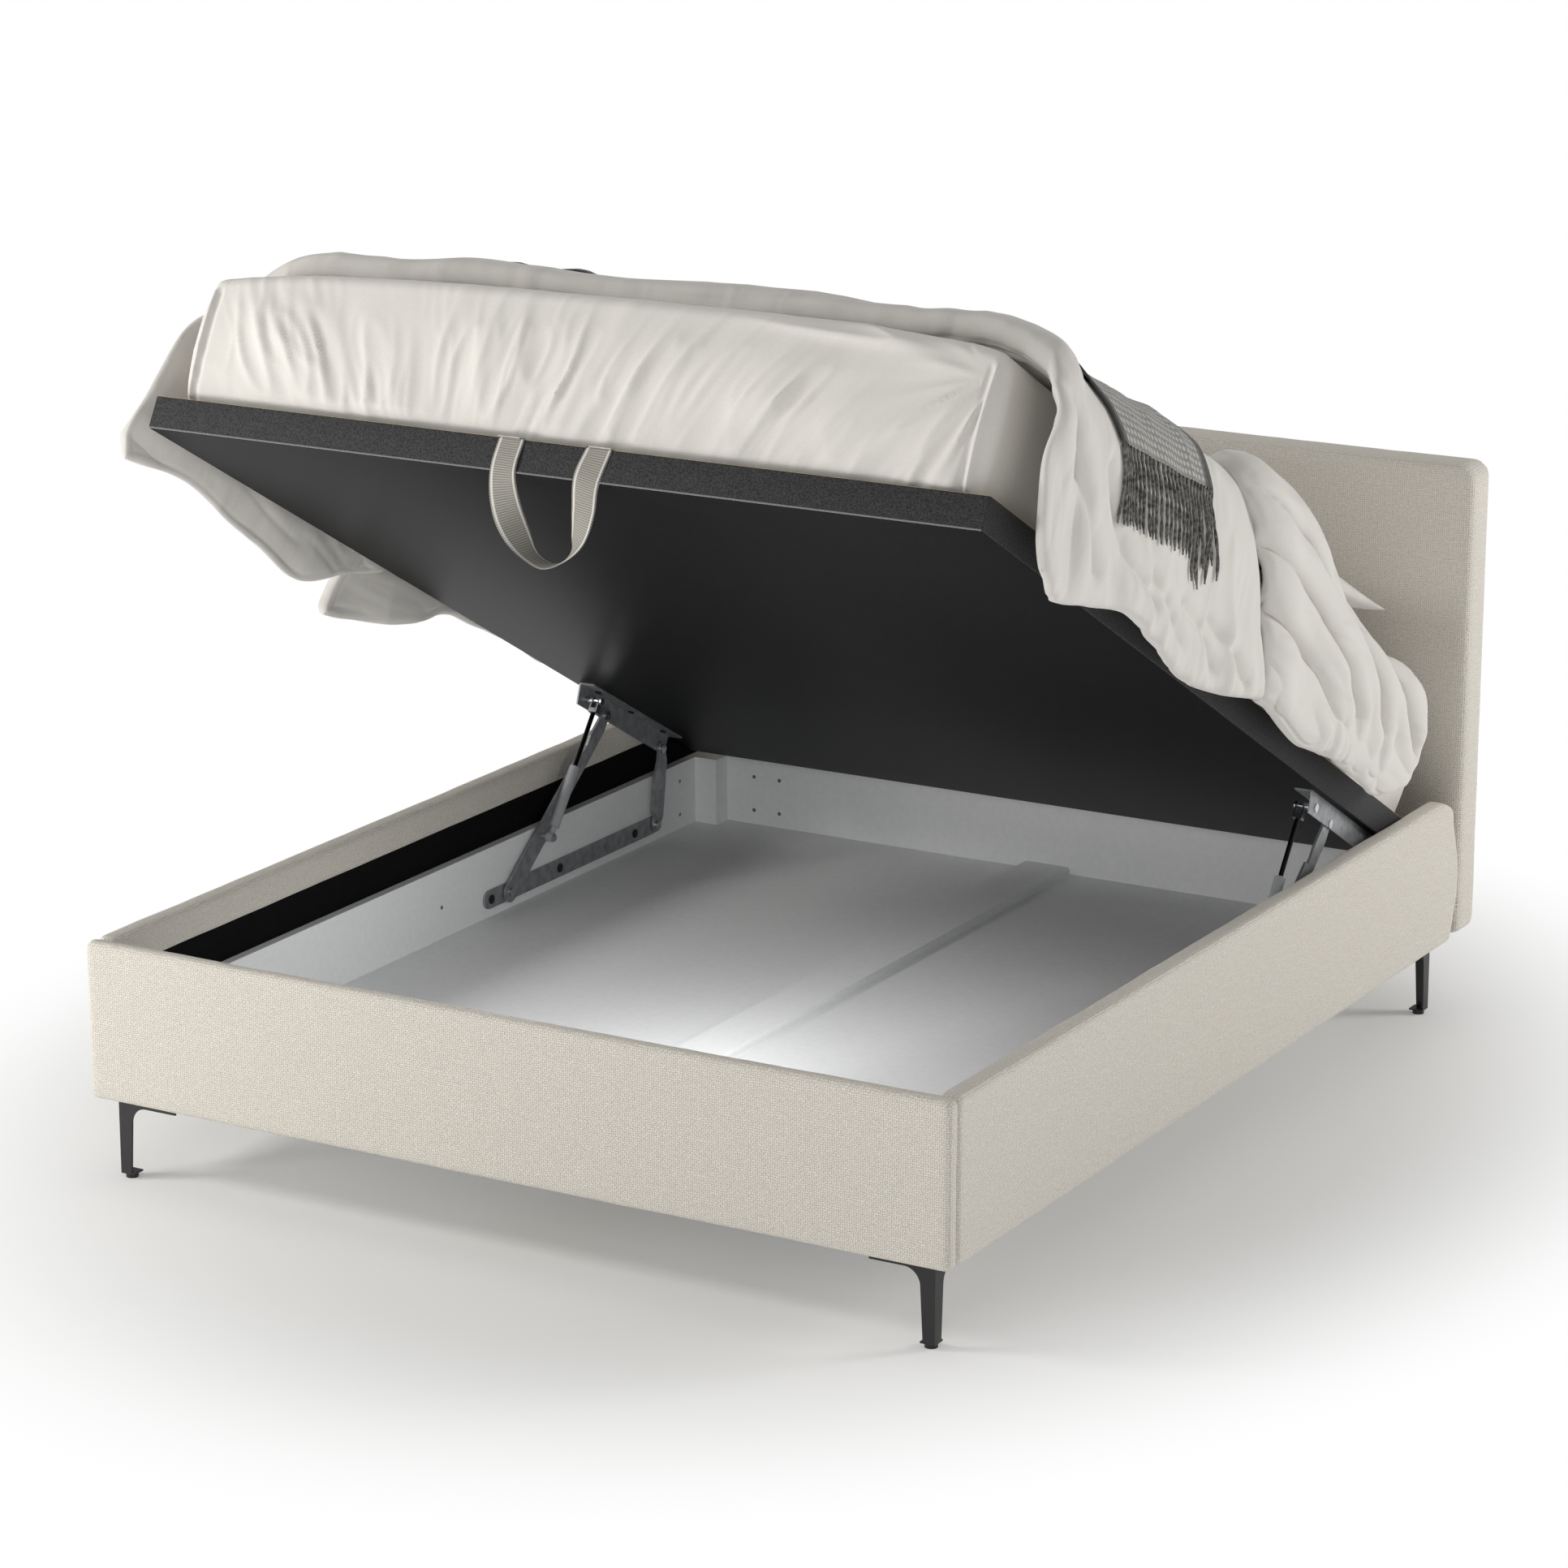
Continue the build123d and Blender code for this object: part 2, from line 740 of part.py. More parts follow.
def base_bar():
    start, end = bar_span()
    half = bar_height / 2
    bar = slab(bar_inner, wall_inner, start + half, end - half, front_base[1] - half, front_base[1] + half)
    for y in (start + half, end - half):
        bar += rod_x(bar_inner, wall_inner, y, front_base[1], half)
    inner = bar_inner - cut_overrun
    outer = wall_inner + cut_overrun
    for y in (front_base[0], rear_base[0]):
        bar -= rod_x(inner, outer, y, front_base[1], pin_radius + pin_clearance)
    for y, z in bar_screw_places():
        bar -= rod_x(inner, outer, y, z, bar_screw_radius)
    run = rear_base[0] - front_base[0]
    for share in bar_hole_place_shares:
        bar -= rod_x(inner, outer, front_base[0] + share * run, front_base[1], bar_hole_radius)
    return bar


def bar_screws():
    screws = []
    for side in (-1, 1):
        for y, z in bar_screw_places():
            face = side * (bar_inner - bar_screw_head_height)
            head = rod_x(face, side * bar_inner, y, z, bar_screw_head_radius)
            tip = side * (wall_inner + bar_screw_bite)
            screws.append(head + rod_x(side * bar_inner, tip, y, z, bar_screw_radius))
    return group(screws)


def pivot_rivet(side, y, z, outer, head_outer):
    """A rivet along X whose head closes over an arm's inner face."""
    shank = rod_x(side * outer, side * arm_inner, y, z, pin_radius)
    head = rod_x(side * (arm_inner - pin_clearance), side * head_outer, y, z, rivet_head_radius)
    neck = rod_x(side * arm_inner, side * head_outer, y, z, pin_radius)
    return shank + neck + head


def base_pivots():
    """Four rivets that carry the arms on the base bars."""
    rivets = []
    for side in (-1, 1):
        for y in (front_base[0], rear_base[0]):
            z = front_base[1]
            rivet = pivot_rivet(side, y, z, wall_inner, arm_inner - rivet_head_height)
            washer = rod_x(side * bar_inner, side * (arm_outer + pin_clearance), y, z, washer_radius)
            rivets.append(rivet + washer)
    return group(rivets)


def notched_arm_outline(length, width, tip_width):
    """Front arm, drawn from its lower pivot along Y: wide, stepped and waved towards the tip."""
    half = width / 2
    tip = tip_width / 2
    upper_heights = (half, tip + arm_notch, tip + arm_notch, tip - arm_notch, tip - arm_notch, tip)
    lower_heights = (-tip, -tip - arm_notch, -half, -tip - arm_notch, -half)
    upper = [(share * length, height) for share, height in zip(front_arm_upper_shares, upper_heights)]
    lower = [(share * length, height) for share, height in zip(front_arm_lower_shares, lower_heights)]
    return [(0, half), *upper, (length, tip), (length, -tip), *lower, (0, -half)]


def front_arm():
    """Front arm on the +X side, at its open angle."""
    outline = notched_arm_outline(arm_length, front_arm_width, front_arm_tip_width)
    arm = side_plate(Polyline(*outline, close=True), arm_inner, arm_outer)
    arm += rod_x(arm_inner, arm_outer, 0, 0, front_arm_width / 2)
    arm += rod_x(arm_inner, arm_outer, arm_length, 0, front_arm_tip_width / 2)
    reach = (arm_inner - cut_overrun, arm_outer + cut_overrun)
    arm -= rod_x(*reach, 0, 0, pin_radius + pin_clearance)
    arm -= rod_x(*reach, arm_length, 0, pin_radius + pin_clearance)
    return Pos(0, *front_base) * Rot(arm_open_angle, 0, 0) * arm + strut_lower_stud()


def rear_arm():
    """Short rear arm on the +X side, wide in the middle and necked at both pivots."""
    half = rear_arm_width / 2
    neck = rear_arm_neck_width / 2
    length = rear_arm_length
    upper_heights = (neck, half, half, neck)
    lower_heights = (-neck, -half, -half, -neck)
    upper = [(share * length, height) for share, height in zip(rear_arm_upper_shares, upper_heights)]
    lower = [(share * length, height) for share, height in zip(rear_arm_lower_shares, lower_heights)]
    outline = [(0, neck), *upper, (length, neck), (length, -neck), *lower, (0, -neck)]
    arm = side_plate(Polyline(*outline, close=True), arm_inner, arm_outer)
    for place in (0, length):
        arm += rod_x(arm_inner, arm_outer, place, 0, neck)
        arm -= rod_x(arm_inner - cut_overrun, arm_outer + cut_overrun, place, 0, pin_radius + pin_clearance)
    return Pos(0, *rear_base) * Rot(rear_arm_angle, 0, 0) * arm


def rear_arm_rivet():
    """Rivet at the rear arm's top. It stops just short of the lid bracket."""
    y, z = linkage["rear_open"]
    return pivot_rivet(1, y, z, web_inner - open_pivot_gap, arm_inner - rivet_head_height)


def lid_bracket():
    """Angle bracket under the lid on the +X side, in the lid's own directions."""
    front = strut_pivot_from_lid_front - bracket_front_overhang
    rear = pivot_from_lid_front + rear_pivot_spacing + bracket_rear_overhang
    outline = Polyline(
        (front, 0),
        (front + bracket_front_slant, -web_depth),
        (rear - bracket_front_slant, -web_depth),
        (rear, -web_depth + bracket_front_slant),
        (rear, 0),
        close=True,
    )
    bracket = side_plate(outline, web_inner, web_outer)
    bracket += slab(web_outer - flange_width, web_outer, front, rear, -web_thickness, 0)
    reach = (web_inner - cut_overrun, web_outer + cut_overrun)
    for y, z in bracket_pivot_places():
        bracket -= rod_x(*reach, y, z, pin_radius)
    for x, y in bracket_screw_places():
        bracket -= rod_z(-2 * web_thickness, cut_overrun, x, y, bracket_screw_radius)
    return lid_place * bracket


def bracket_pivot_places():
    return [
        (pivot_from_lid_front, -pivot_below_lid),
        (pivot_from_lid_front + rear_pivot_spacing, -pivot_below_lid),
        (strut_pivot_from_lid_front, -strut_pivot_below_lid),
    ]


def bracket_pivots():
    """Front-arm rivets and rivet ends, held in the lid brackets' webs."""
    rivets = []
    for side in (-1, 1):
        for index, (y, z) in enumerate(bracket_pivot_places()):
            cap = rod_x(side * web_outer, side * (web_outer + cap_height), y, z, cap_radius)
            shank = rod_x(side * web_inner, side * (web_outer + cap_height), y, z, pin_radius)
            rivet = cap + shank
            if index == 0:
                rivet += pivot_rivet(side, y, z, web_outer, arm_inner - rivet_head_height)
                rivet += rod_x(side * web_inner, side * (arm_outer + pin_clearance), y, z, washer_radius)
            rivets.append(lid_place * rivet)
    return group(rivets)


def bracket_screw_places():
    """(x, y) places of the lid bracket's screws on the +X side."""
    front = strut_pivot_from_lid_front - bracket_front_overhang
    rear = pivot_from_lid_front + rear_pivot_spacing + bracket_rear_overhang
    x = web_outer - flange_width / 2
    return [(x, front + share * (rear - front)) for share in bracket_screw_place_shares]


def bracket_screws():
    screws = []
    for side in (-1, 1):
        for x, y in bracket_screw_places():
            under = -web_thickness
            head = rod_z(under - bracket_screw_head_height, under, side * x, y, bracket_screw_head_radius)
            low = under - bracket_screw_head_height
            shank = rod_z(low, bracket_screw_bite, side * x, y, bracket_screw_radius)
            screws.append(lid_place * (head + shank))
    return group(screws)


def strut_place(shape):
    """Puts a strut piece, drawn along Y from its lower eye, on the +X side."""
    return Pos(strut_centre, *linkage["strut_foot"]) * Rot(strut_angle, 0, 0) * shape


def strut_cylinder():
    half = strut_eye_width / 2
    body = rod_y(strut_cylinder_bottom, strut_cylinder_top, 0, 0, strut_cylinder_radius)
    body += rod_y(0, strut_cylinder_bottom, 0, 0, strut_neck_radius)
    body += rod_x(-half, half, 0, 0, strut_eye_radius)
    body -= rod_x(-half - cut_overrun, half + cut_overrun, 0, 0, stud_radius + pin_clearance)
    gland = strut_cylinder_top - strut_gland
    body -= rod_y(strut_chamber_bottom, gland, 0, 0, strut_chamber_radius)
    rod_hole = strut_rod_radius + pin_clearance
    body -= rod_y(gland - cut_overrun, strut_cylinder_top + cut_overrun, 0, 0, rod_hole)
    return strut_place(body)


def strut_lower_stud():
    """Stud riveted to the front arm. It carries the cylinder's eye."""
    half = strut_eye_width / 2
    inner = strut_centre - half - stud_head_height
    y, z = linkage["strut_foot"]
    stud = rod_x(arm_inner, inner, y, z, stud_radius)
    stud += rod_x(arm_inner, strut_centre + half + pin_clearance, y, z, stud_shoulder_radius)
    stud += rod_x(strut_centre - half - pin_clearance, inner, y, z, stud_head_radius)
    return stud


def strut_rod():
    inside = strut_cylinder_top - strut_rod_inside
    body = rod_y(inside, strut_length - clevis_length + clevis_base, 0, 0, strut_rod_radius)
    body += rod_y(inside - strut_piston_length, inside, 0, 0, strut_piston_radius)
    return strut_place(body)


def strut_clevis():
    """Forked end on the rod, with the upper stud riveted through its two ears."""
    half = clevis_width / 2
    start = strut_length - clevis_length
    rise = clevis_half_height
    fork = slab(-half, half, start, strut_length, -rise, rise)
    fork += rod_x(-half, half, strut_length, 0, rise)
    tip = strut_length + rise + cut_overrun
    gap = half - clevis_ear
    fork -= slab(-gap, gap, start + clevis_base, tip, -rise - cut_overrun, rise + cut_overrun)
    fork -= rod_y(start - cut_overrun, start + clevis_base, 0, 0, strut_rod_radius)
    return strut_place(fork) + strut_upper_stud()


def strut_upper_stud():
    """Stud of the clevis. It stops just short of the lid bracket."""
    y, z = linkage["strut_top"]
    half = clevis_width / 2
    inner = strut_centre - half - stud_head_height
    stud = rod_x(web_inner - open_pivot_gap, inner, y, z, stud_radius)
    stud += rod_x(web_inner - open_pivot_gap, strut_centre + half, y, z, stud_shoulder_radius)
    stud += rod_x(strut_centre - half, inner, y, z, stud_head_radius)
    return stud


def lid_inside():
    """Half width, front and rear of the space inside the lid's cover."""
    skin = lid_cover_thickness
    return lid_half - skin, skin, lid_length - skin


def lid_screw_holes(body):
    for side in (-1, 1):
        for x, y in bracket_screw_places():
            body -= rod_z(-cut_overrun, bracket_screw_bite, side * x, y, bracket_screw_radius)
    return body


def lid_cover():
    body = slab(-lid_half, lid_half, 0, lid_length, 0, lid_thickness)
    body = fillet(body.edges().filter_by(Axis.Z), lid_corner_radius)
    half, front, rear = lid_inside()
    body -= slab(-half, half, front, rear, lid_cover_thickness, lid_thickness + cut_overrun)
    return lid_place * lid_screw_holes(body)


def lid_base():
    half, front, rear = lid_inside()
    low = lid_cover_thickness
    return lid_place * lid_screw_holes(slab(-half, half, front, rear, low, low + lid_base_thickness))


def lid_deck():
    half, front, rear = lid_inside()
    return lid_place * slab(-half, half, front, rear, lid_thickness - lid_deck_thickness, lid_thickness)


def lid_frame():
    """Timber members between the lid's base and deck: two sides, two ends and cross members."""
    half, front, rear = lid_inside()
    low = lid_cover_thickness + lid_base_thickness
    high = lid_thickness - lid_deck_thickness
    inner = half - lid_side_member
    members = []
    for side in (-1, 1):
        members.append(slab(side * inner, side * half, front, rear, low, high))
    start = front + lid_end_member
    end = rear - lid_end_member
    members.append(slab(-inner, inner, front, start, low, high))
    members.append(slab(-inner, inner, end, rear, low, high))
    bay = (end - start - lid_cross_count * lid_cross_member) / (lid_cross_count + 1)
    for index in range(lid_cross_count):
        y0 = start + bay + index * (bay + lid_cross_member)
        members.append(slab(-inner, inner, y0, y0 + lid_cross_member, low, high))
    return group(lid_place * lid_screw_holes(member) for member in members)


def handle_stations():
    """Centre, width direction and thickness direction of the strap, in the lid's directions."""
    face = -handle_gap - handle_strap_thickness / 2
    top = lid_thickness + handle_strap_thickness / 2
    down_y, down_z = turned((0, -1), lid_radians)
    places = []
    for side_share, drop_share in zip(handle_side_shares, handle_drop_shares):
        x = side_share * handle_span
        drop = drop_share * handle_drop
        on_face = min(drop, top)
        free = drop - on_face
        places.append(Vector(x, face + free * down_y, top - on_face + free * down_z))
    stations = []
    for index, place in enumerate(places):
        before = places[max(index - 1, 0)]
        after = places[min(index + 1, len(places) - 1)]
        run = (after - before).normalized()
        if index in (0, len(places) - 1):
            run = Vector(0, 0, -1 if index == 0 else 1)
        down = Vector(0, down_y, down_z)
        out = down.cross(Vector(1, 0, 0)).normalized()
        if drop_on_face(handle_drop_shares[index]):
            out = Vector(0, -1, 0)
        flat = run.cross(out).normalized()
        twist = radians(handle_full_twist * handle_twist_shares[index])
        wide = flat * cos(twist) + out * sin(twist)
        thick = run.cross(wide).normalized()
        stations.append((place, wide, thick))
    return stations


def drop_on_face(share):
    return share * handle_drop <= lid_thickness


def handle_strap():
    """Webbing loop that hangs from the lid's front edge, twisted at the bottom."""
    sections = []
    for place, wide, thick in handle_stations():
        w = wide * (handle_strap_width / 2)
        t = thick * (handle_strap_thickness / 2)
        corners = [place + w + t, place - w + t, place - w - t, place + w - t]
        sections.append(Wire(Polyline(*corners, close=True).edges()))
    return lid_place * Solid.make_loft(sections, ruled=True)


def handle_tabs():
    """Ends of the strap, stitched to the lid's deck in front of the mattress."""
    tabs = []
    half = handle_strap_width / 2
    for share in (handle_side_shares[0], handle_side_shares[-1]):
        x = share * handle_span
        top = lid_thickness + handle_strap_thickness
        tab = slab(x - half, x + half, -handle_gap, handle_tab_length, lid_thickness, top)
        tabs.append(lid_place * tab)
    return group(tabs)


def bowed_outline(length, height, draw, crown):
    """A pad's section: sides drawn in at top and bottom, and a crowned top."""
    half = length / 2
    edge = half - draw
    right = ThreePointArc((edge, 0), (half, height / 2), (edge, height - crown))
    top = ThreePointArc((edge, height - crown), (0, height), (-edge, height - crown))
    left = ThreePointArc((-edge, height - crown), (-half, height / 2), (-edge, 0))
    base = Line((-edge, 0), (edge, 0))
    return right + top + left + base


def mattress():
    """Crowned mattress in its fitted sheet, hollow where its springs and air are."""
    length = mattress_length
    middle = Pos(0, length / 2, 0)
    wide = mattress_width + 2 * cut_overrun
    long = length + 2 * cut_overrun
    section = make_face(bowed_outline(mattress_width, mattress_height, mattress_side_draw, mattress_crown))
    body = extrude(Plane(origin=(0, long / 2, 0), x_dir=(1, 0, 0), z_dir=(0, -1, 0)) * section, amount=long)
    clear_height = mattress_height + 2 * mattress_crown
    side = make_face(bowed_outline(length, clear_height, mattress_side_draw, mattress_crown))
    body &= extrude(Plane.YZ.offset(-wide / 2) * side, amount=wide)
    plan = RectangleRounded(wide, long, mattress_corner_radius)
    body &= extrude(plan, amount=mattress_height)
    inner = mattress_width / 2 - mattress_side_draw - mattress_wall
    reach = length / 2 - mattress_side_draw - mattress_wall
    high = mattress_height - mattress_crown - mattress_wall
    body -= slab(-inner, inner, -reach, reach, mattress_wall, high)
    core = inner * mattress_core_share
    core_high = high + mattress_crown * mattress_core_share
    body -= slab(-core, core, -reach, reach, high - cut_overrun, core_high)
    return lid_place * Pos(0, mattress_front_gap, lid_thickness + soft_gap) * middle * body


def cloth_side(top, shoulder, hem, fold):
    """Outer and inner (x, z) points of half a draped cloth, from the middle to the hem.

    top and shoulder are the heights of its upper face in the middle and over the
    mattress edge, hem the height of its lower edge, and fold how far the hanging
    part stands out beyond its innermost place.
    """
    clear = half_width + rail_clearance
    rest = mattress_top + soft_gap
    edge = mattress_width / 2
    wide = clear + duvet_hem_thickness
    drop = top - rest
    flat = cloth_flat_share * edge
    low_side = lid_thickness + cloth_side_share * mattress_height
    low_bend = hem + cloth_low_share * (low_side - hem)
    side_fold = cloth_side_fold_share * fold
    hem_fold = cloth_hem_fold_share * fold
    outer = [
        (0, top),
        (flat, top),
        (cloth_turn_share * edge, top - cloth_turn_drop_share * drop),
        (edge + cloth_shoulder_share * (wide - edge), shoulder),
        (wide + side_fold, rest - cloth_side_share * mattress_height),
        (wide + fold, low_side),
        (wide + fold, low_bend),
        (wide + hem_fold, hem),
    ]
    inner = [
        (0, rest),
        (cloth_inner_flat_share * edge, rest),
        (edge + soft_gap, rest - mattress_crown + 2 * soft_gap),
    ]
    for out_share, drop_share in zip(cloth_inner_out_shares, cloth_inner_drop_shares):
        inner.append((edge + out_share * (clear - edge), rest - drop_share * mattress_height))
    inner += [
        (clear + side_fold, low_side),
        (clear + fold, low_bend),
        (clear + hem_fold, hem),
    ]
    return outer, inner


def section_wire(points, y):
    return Wire(Polyline(*[Vector(x, y, z) for x, z in points], close=True).edges())


def flipped(points):
    return [(-x, z) for x, z in points]


def draped(stations):
    """A cloth over the mattress, as a ruled loft through its cross sections."""
    wires = []
    for y, top, shoulder, right_hem, left_hem, fold in stations:
        right_outer, right_inner = cloth_side(top, shoulder, right_hem, fold)
        left_outer, left_inner = cloth_side(top, shoulder, left_hem, fold)
        points = right_outer + right_inner[::-1] + flipped(left_inner)[1:] + flipped(left_outer)[:0:-1]
        wires.append(section_wire(points, y))
    return Solid.make_loft(wires, ruled=True)


def cloth_filling(stations):
    """The air inside a deep duvet part, clear of its first and last sections."""
    edge = mattress_width / 2
    low = mattress_top + soft_gap + duvet_wall
    wires = []
    for y, top, shoulder, right_hem, left_hem, fold in stations[1:-1]:
        drop = top - mattress_top
        half = [(0, top - duvet_wall), (0.66 * edge, top - duvet_wall)]
        half += [(0.9 * edge, top - 0.2 * drop - duvet_wall), (0.9 * edge, low)]
        wires.append(section_wire(half + flipped(half)[:0:-1], y))
    return Solid.make_loft(wires, ruled=True)


# Cross sections of the two duvet parts: place along the part, height of its top and
# of its shoulder, right hem, left hem and fold, as shares of its length, its loft,
# the lid's thickness and the fold depth.
duvet_place_shares = (0.0, 0.06, 0.2, 0.346, 0.5, 0.66, 0.82, 1.0)
duvet_top_shares = (0.55, 0.9, 1.0, 1.0, 1.0, 1.0, 1.0, 0.8)
duvet_shoulder_shares = (-0.4, -0.25, -0.15, -0.1, -0.1, -0.1, -0.05, -0.2)
duvet_right_hem_shares = (-0.4, -0.8, -0.45, 0.05, -0.15, -0.45, -0.15, 0.5)
duvet_left_hem_shares = (-0.9, -1.0, -1.0, -0.9, -1.3, -1.9, -1.6, -1.2)
duvet_fold_shares = (1.0, 0.0, 0.4, 0.2, 0.4, 0.1, 0.9, 0.3)

folded_place_shares = (0.0, 0.08, 0.3, 0.38, 0.52, 0.66, 0.85, 1.0)
folded_top_shares = (0.64, 0.89, 0.96, 0.96, 0.83, 0.7, 0.62, 0.44)
folded_shoulder_shares = (0.32, 0.76, 0.76, 0.44, 0.06, -0.26, -0.45, -0.58)
folded_right_hem_shares = (0.45, 0.45, 0.2, 0.3, 0.5, 0.5, 0.5, 1.6)
folded_left_hem_shares = (-1.1, -1.3, -0.2, 0.0, 0.2, 0.4, 0.5, 1.6)
folded_fold_shares = (0.2, 1.0, 0.1, 0.5, 0.9, 0.2, 0.8, 0.4)


def cloth_stations(start, length, loft, tables):
    """Cross sections of a duvet part in millimetres, from its tables of shares."""
    rest = mattress_top + soft_gap
    return [
        (
            start + place * length,
            rest + top * loft,
            rest + shoulder * loft,
            right * lid_thickness,
            left * lid_thickness,
            fold * duvet_fold_depth,
        )
        for place, top, shoulder, right, left, fold in zip(*tables)
    ]


def duvet_stations():
    tables = (
        duvet_place_shares,
        duvet_top_shares,
        duvet_shoulder_shares,
        duvet_right_hem_shares,
        duvet_left_hem_shares,
        duvet_fold_shares,
    )
    return cloth_stations(duvet_front, duvet_length, duvet_loft, tables)


def duvet():
    return lid_place * draped(duvet_stations())


def folded_stations():
    tables = (
        folded_place_shares,
        folded_top_shares,
        folded_shoulder_shares,
        folded_right_hem_shares,
        folded_left_hem_shares,
        folded_fold_shares,
    )
    return cloth_stations(folded_duvet_front, folded_duvet_length, folded_duvet_loft, tables)


def folded_duvet():
    """The duvet's folded-back part, which the pillows lie on."""
    stations = folded_stations()
    return lid_place * (draped(stations) - cloth_filling(stations))


def offset_points(points, distance):
    """Moves an (x, z) line outwards, to its left as it runs down the +X side."""
    moved = []
    for index, (x, z) in enumerate(points):
        x0, z0 = points[max(index - 1, 0)]
        x1, z1 = points[min(index + 1, len(points) - 1)]
        dx, dz = x1 - x0, z1 - z0
        size = hypot(dx, dz)
        moved.append((x - distance * dz / size, z + distance * dx / size))
    moved[0] = (0, points[0][1] + distance)
    return moved


def cut_at_height(points, height):
    """The part of a downward line above a height, ending on it."""
    kept = [points[0]]
    for (x0, z0), (x1, z1) in zip(points, points[1:]):
        if z1 <= height:
            share = (z0 - height) / (z0 - z1)
            return kept + [(x0 + share * (x1 - x0), height)]
        kept.append((x1, z1))
    return kept


def between_heights(points, high, low):
    """The part of a downward line between two heights."""
    upper = cut_at_height(points, low)
    start = cut_at_height(points, high)[-1]
    return [start] + [point for point in upper if point[1] < high - 1e-6]


throw_right_hem_shares = (0.75, 0.8, 0.88)
throw_left_hem_shares = (0.3, 0.3, 0.3)


def throw_stations():
    """Duvet sections that the throw lies on, with its hem heights."""
    last = throw_skipped_section_count + len(throw_right_hem_shares)
    return duvet_stations()[throw_skipped_section_count:last]


def throw_lines(outer):
    """Inner and outer lines of the throw on half a duvet section."""
    inner = offset_points(outer, 2 * soft_gap)
    return inner, offset_points(inner, throw_thickness)


def throw_blanket():
    wires = []
    for index, (y, top, shoulder, right_hem, left_hem, fold) in enumerate(throw_stations()):
        outer, _ = cloth_side(top, shoulder, right_hem, fold)
        inner_line, outer_line = throw_lines(outer)
        right = throw_right_hem(index)
        left = throw_left_hem(index)
        ring = cut_at_height(outer_line, right) + cut_at_height(inner_line, right)[::-1]
        ring += flipped(cut_at_height(inner_line, left))[1:] + flipped(cut_at_height(outer_line, left))[:0:-1]
        wires.append(section_wire(ring, y))
    return lid_place * Solid.make_loft(wires, ruled=True)


def throw_right_hem(index):
    return throw_right_hem_shares[index] * mattress_height + lid_thickness


def throw_left_hem(index):
    return throw_left_hem_shares[index] * mattress_height + lid_thickness


def throw_fringe():
    """Fringe under both hems of the throw, as two thin panels."""
    panels = []
    for side in (1, -1):
        wires = []
        for index, (y, top, shoulder, right_hem, left_hem, fold) in enumerate(throw_stations()):
            outer, _ = cloth_side(top, shoulder, right_hem if side > 0 else left_hem, fold)
            inner_line, _ = throw_lines(outer)
            face = offset_points(inner_line, fringe_thickness)
            hem = throw_right_hem(index) if side > 0 else throw_left_hem(index)
            ring = between_heights(face, hem, hem - fringe_length)
            ring += between_heights(inner_line, hem, hem - fringe_length)[::-1]
            wires.append(section_wire(ring if side > 0 else flipped(ring), y))
        panels.append(lid_place * Solid.make_loft(wires, ruled=True))
    return group(panels)


def pillow_ring(scale):
    """A pillow's plan at one height, with pointed corners and drawn-in sides."""
    w = pillow_width / 2 * scale
    d = pillow_length / 2 * scale
    draw = pillow_draw * scale
    corners = [(w, d), (-w, d), (-w, -d), (w, -d)]
    middles = [(0, d - draw), (-w + draw, 0), (0, -d + draw), (w - draw, 0)]
    edges = [
        ThreePointArc(corners[i], middles[i], corners[(i + 1) % 4])
        for i in range(4)
    ]
    return Wire([arc.edge() for arc in edges])


pillow_level_shares = (0.0, 0.16, 0.5, 0.84, 1.0)
pillow_scale_shares = (0.5, 0.8, 1.0, 0.8, 0.5)


def pillow_form(share):
    """A pillow centred on its own middle, its size a share of the full one."""
    rings = [
        Pos(0, 0, (level - 0.5) * pillow_thickness * share) * pillow_ring(scale * share)
        for level, scale in zip(pillow_level_shares, pillow_scale_shares)
    ]
    return Solid.make_loft(rings, ruled=True)


def folded_top_at(place):
    """Height of the folded duvet's top at a place along the lid."""
    stations = folded_stations()
    for (y0, z0, *_), (y1, z1, *_) in zip(stations, stations[1:]):
        if y0 <= place <= y1:
            return z0 + (z1 - z0) * (place - y0) / (y1 - y0)
    return mattress_top


def pillows():
    """Two hollow pillows side by side on the folded duvet."""
    pieces = []
    seat = pillow_front + (1 - pillow_scale_shares[0]) * pillow_length / 2
    pillow = pillow_form(1) - pillow_form(pillow_wall_share)
    for side in (-1, 1):
        x = side * (pillow_from_centre + pillow_width / 2)
        y = pillow_front + pillow_length / 2
        z = folded_top_at(seat) + soft_gap + pillow_thickness / 2
        pieces.append(lid_place * Pos(x, y, z) * pillow)
    return group(pieces)


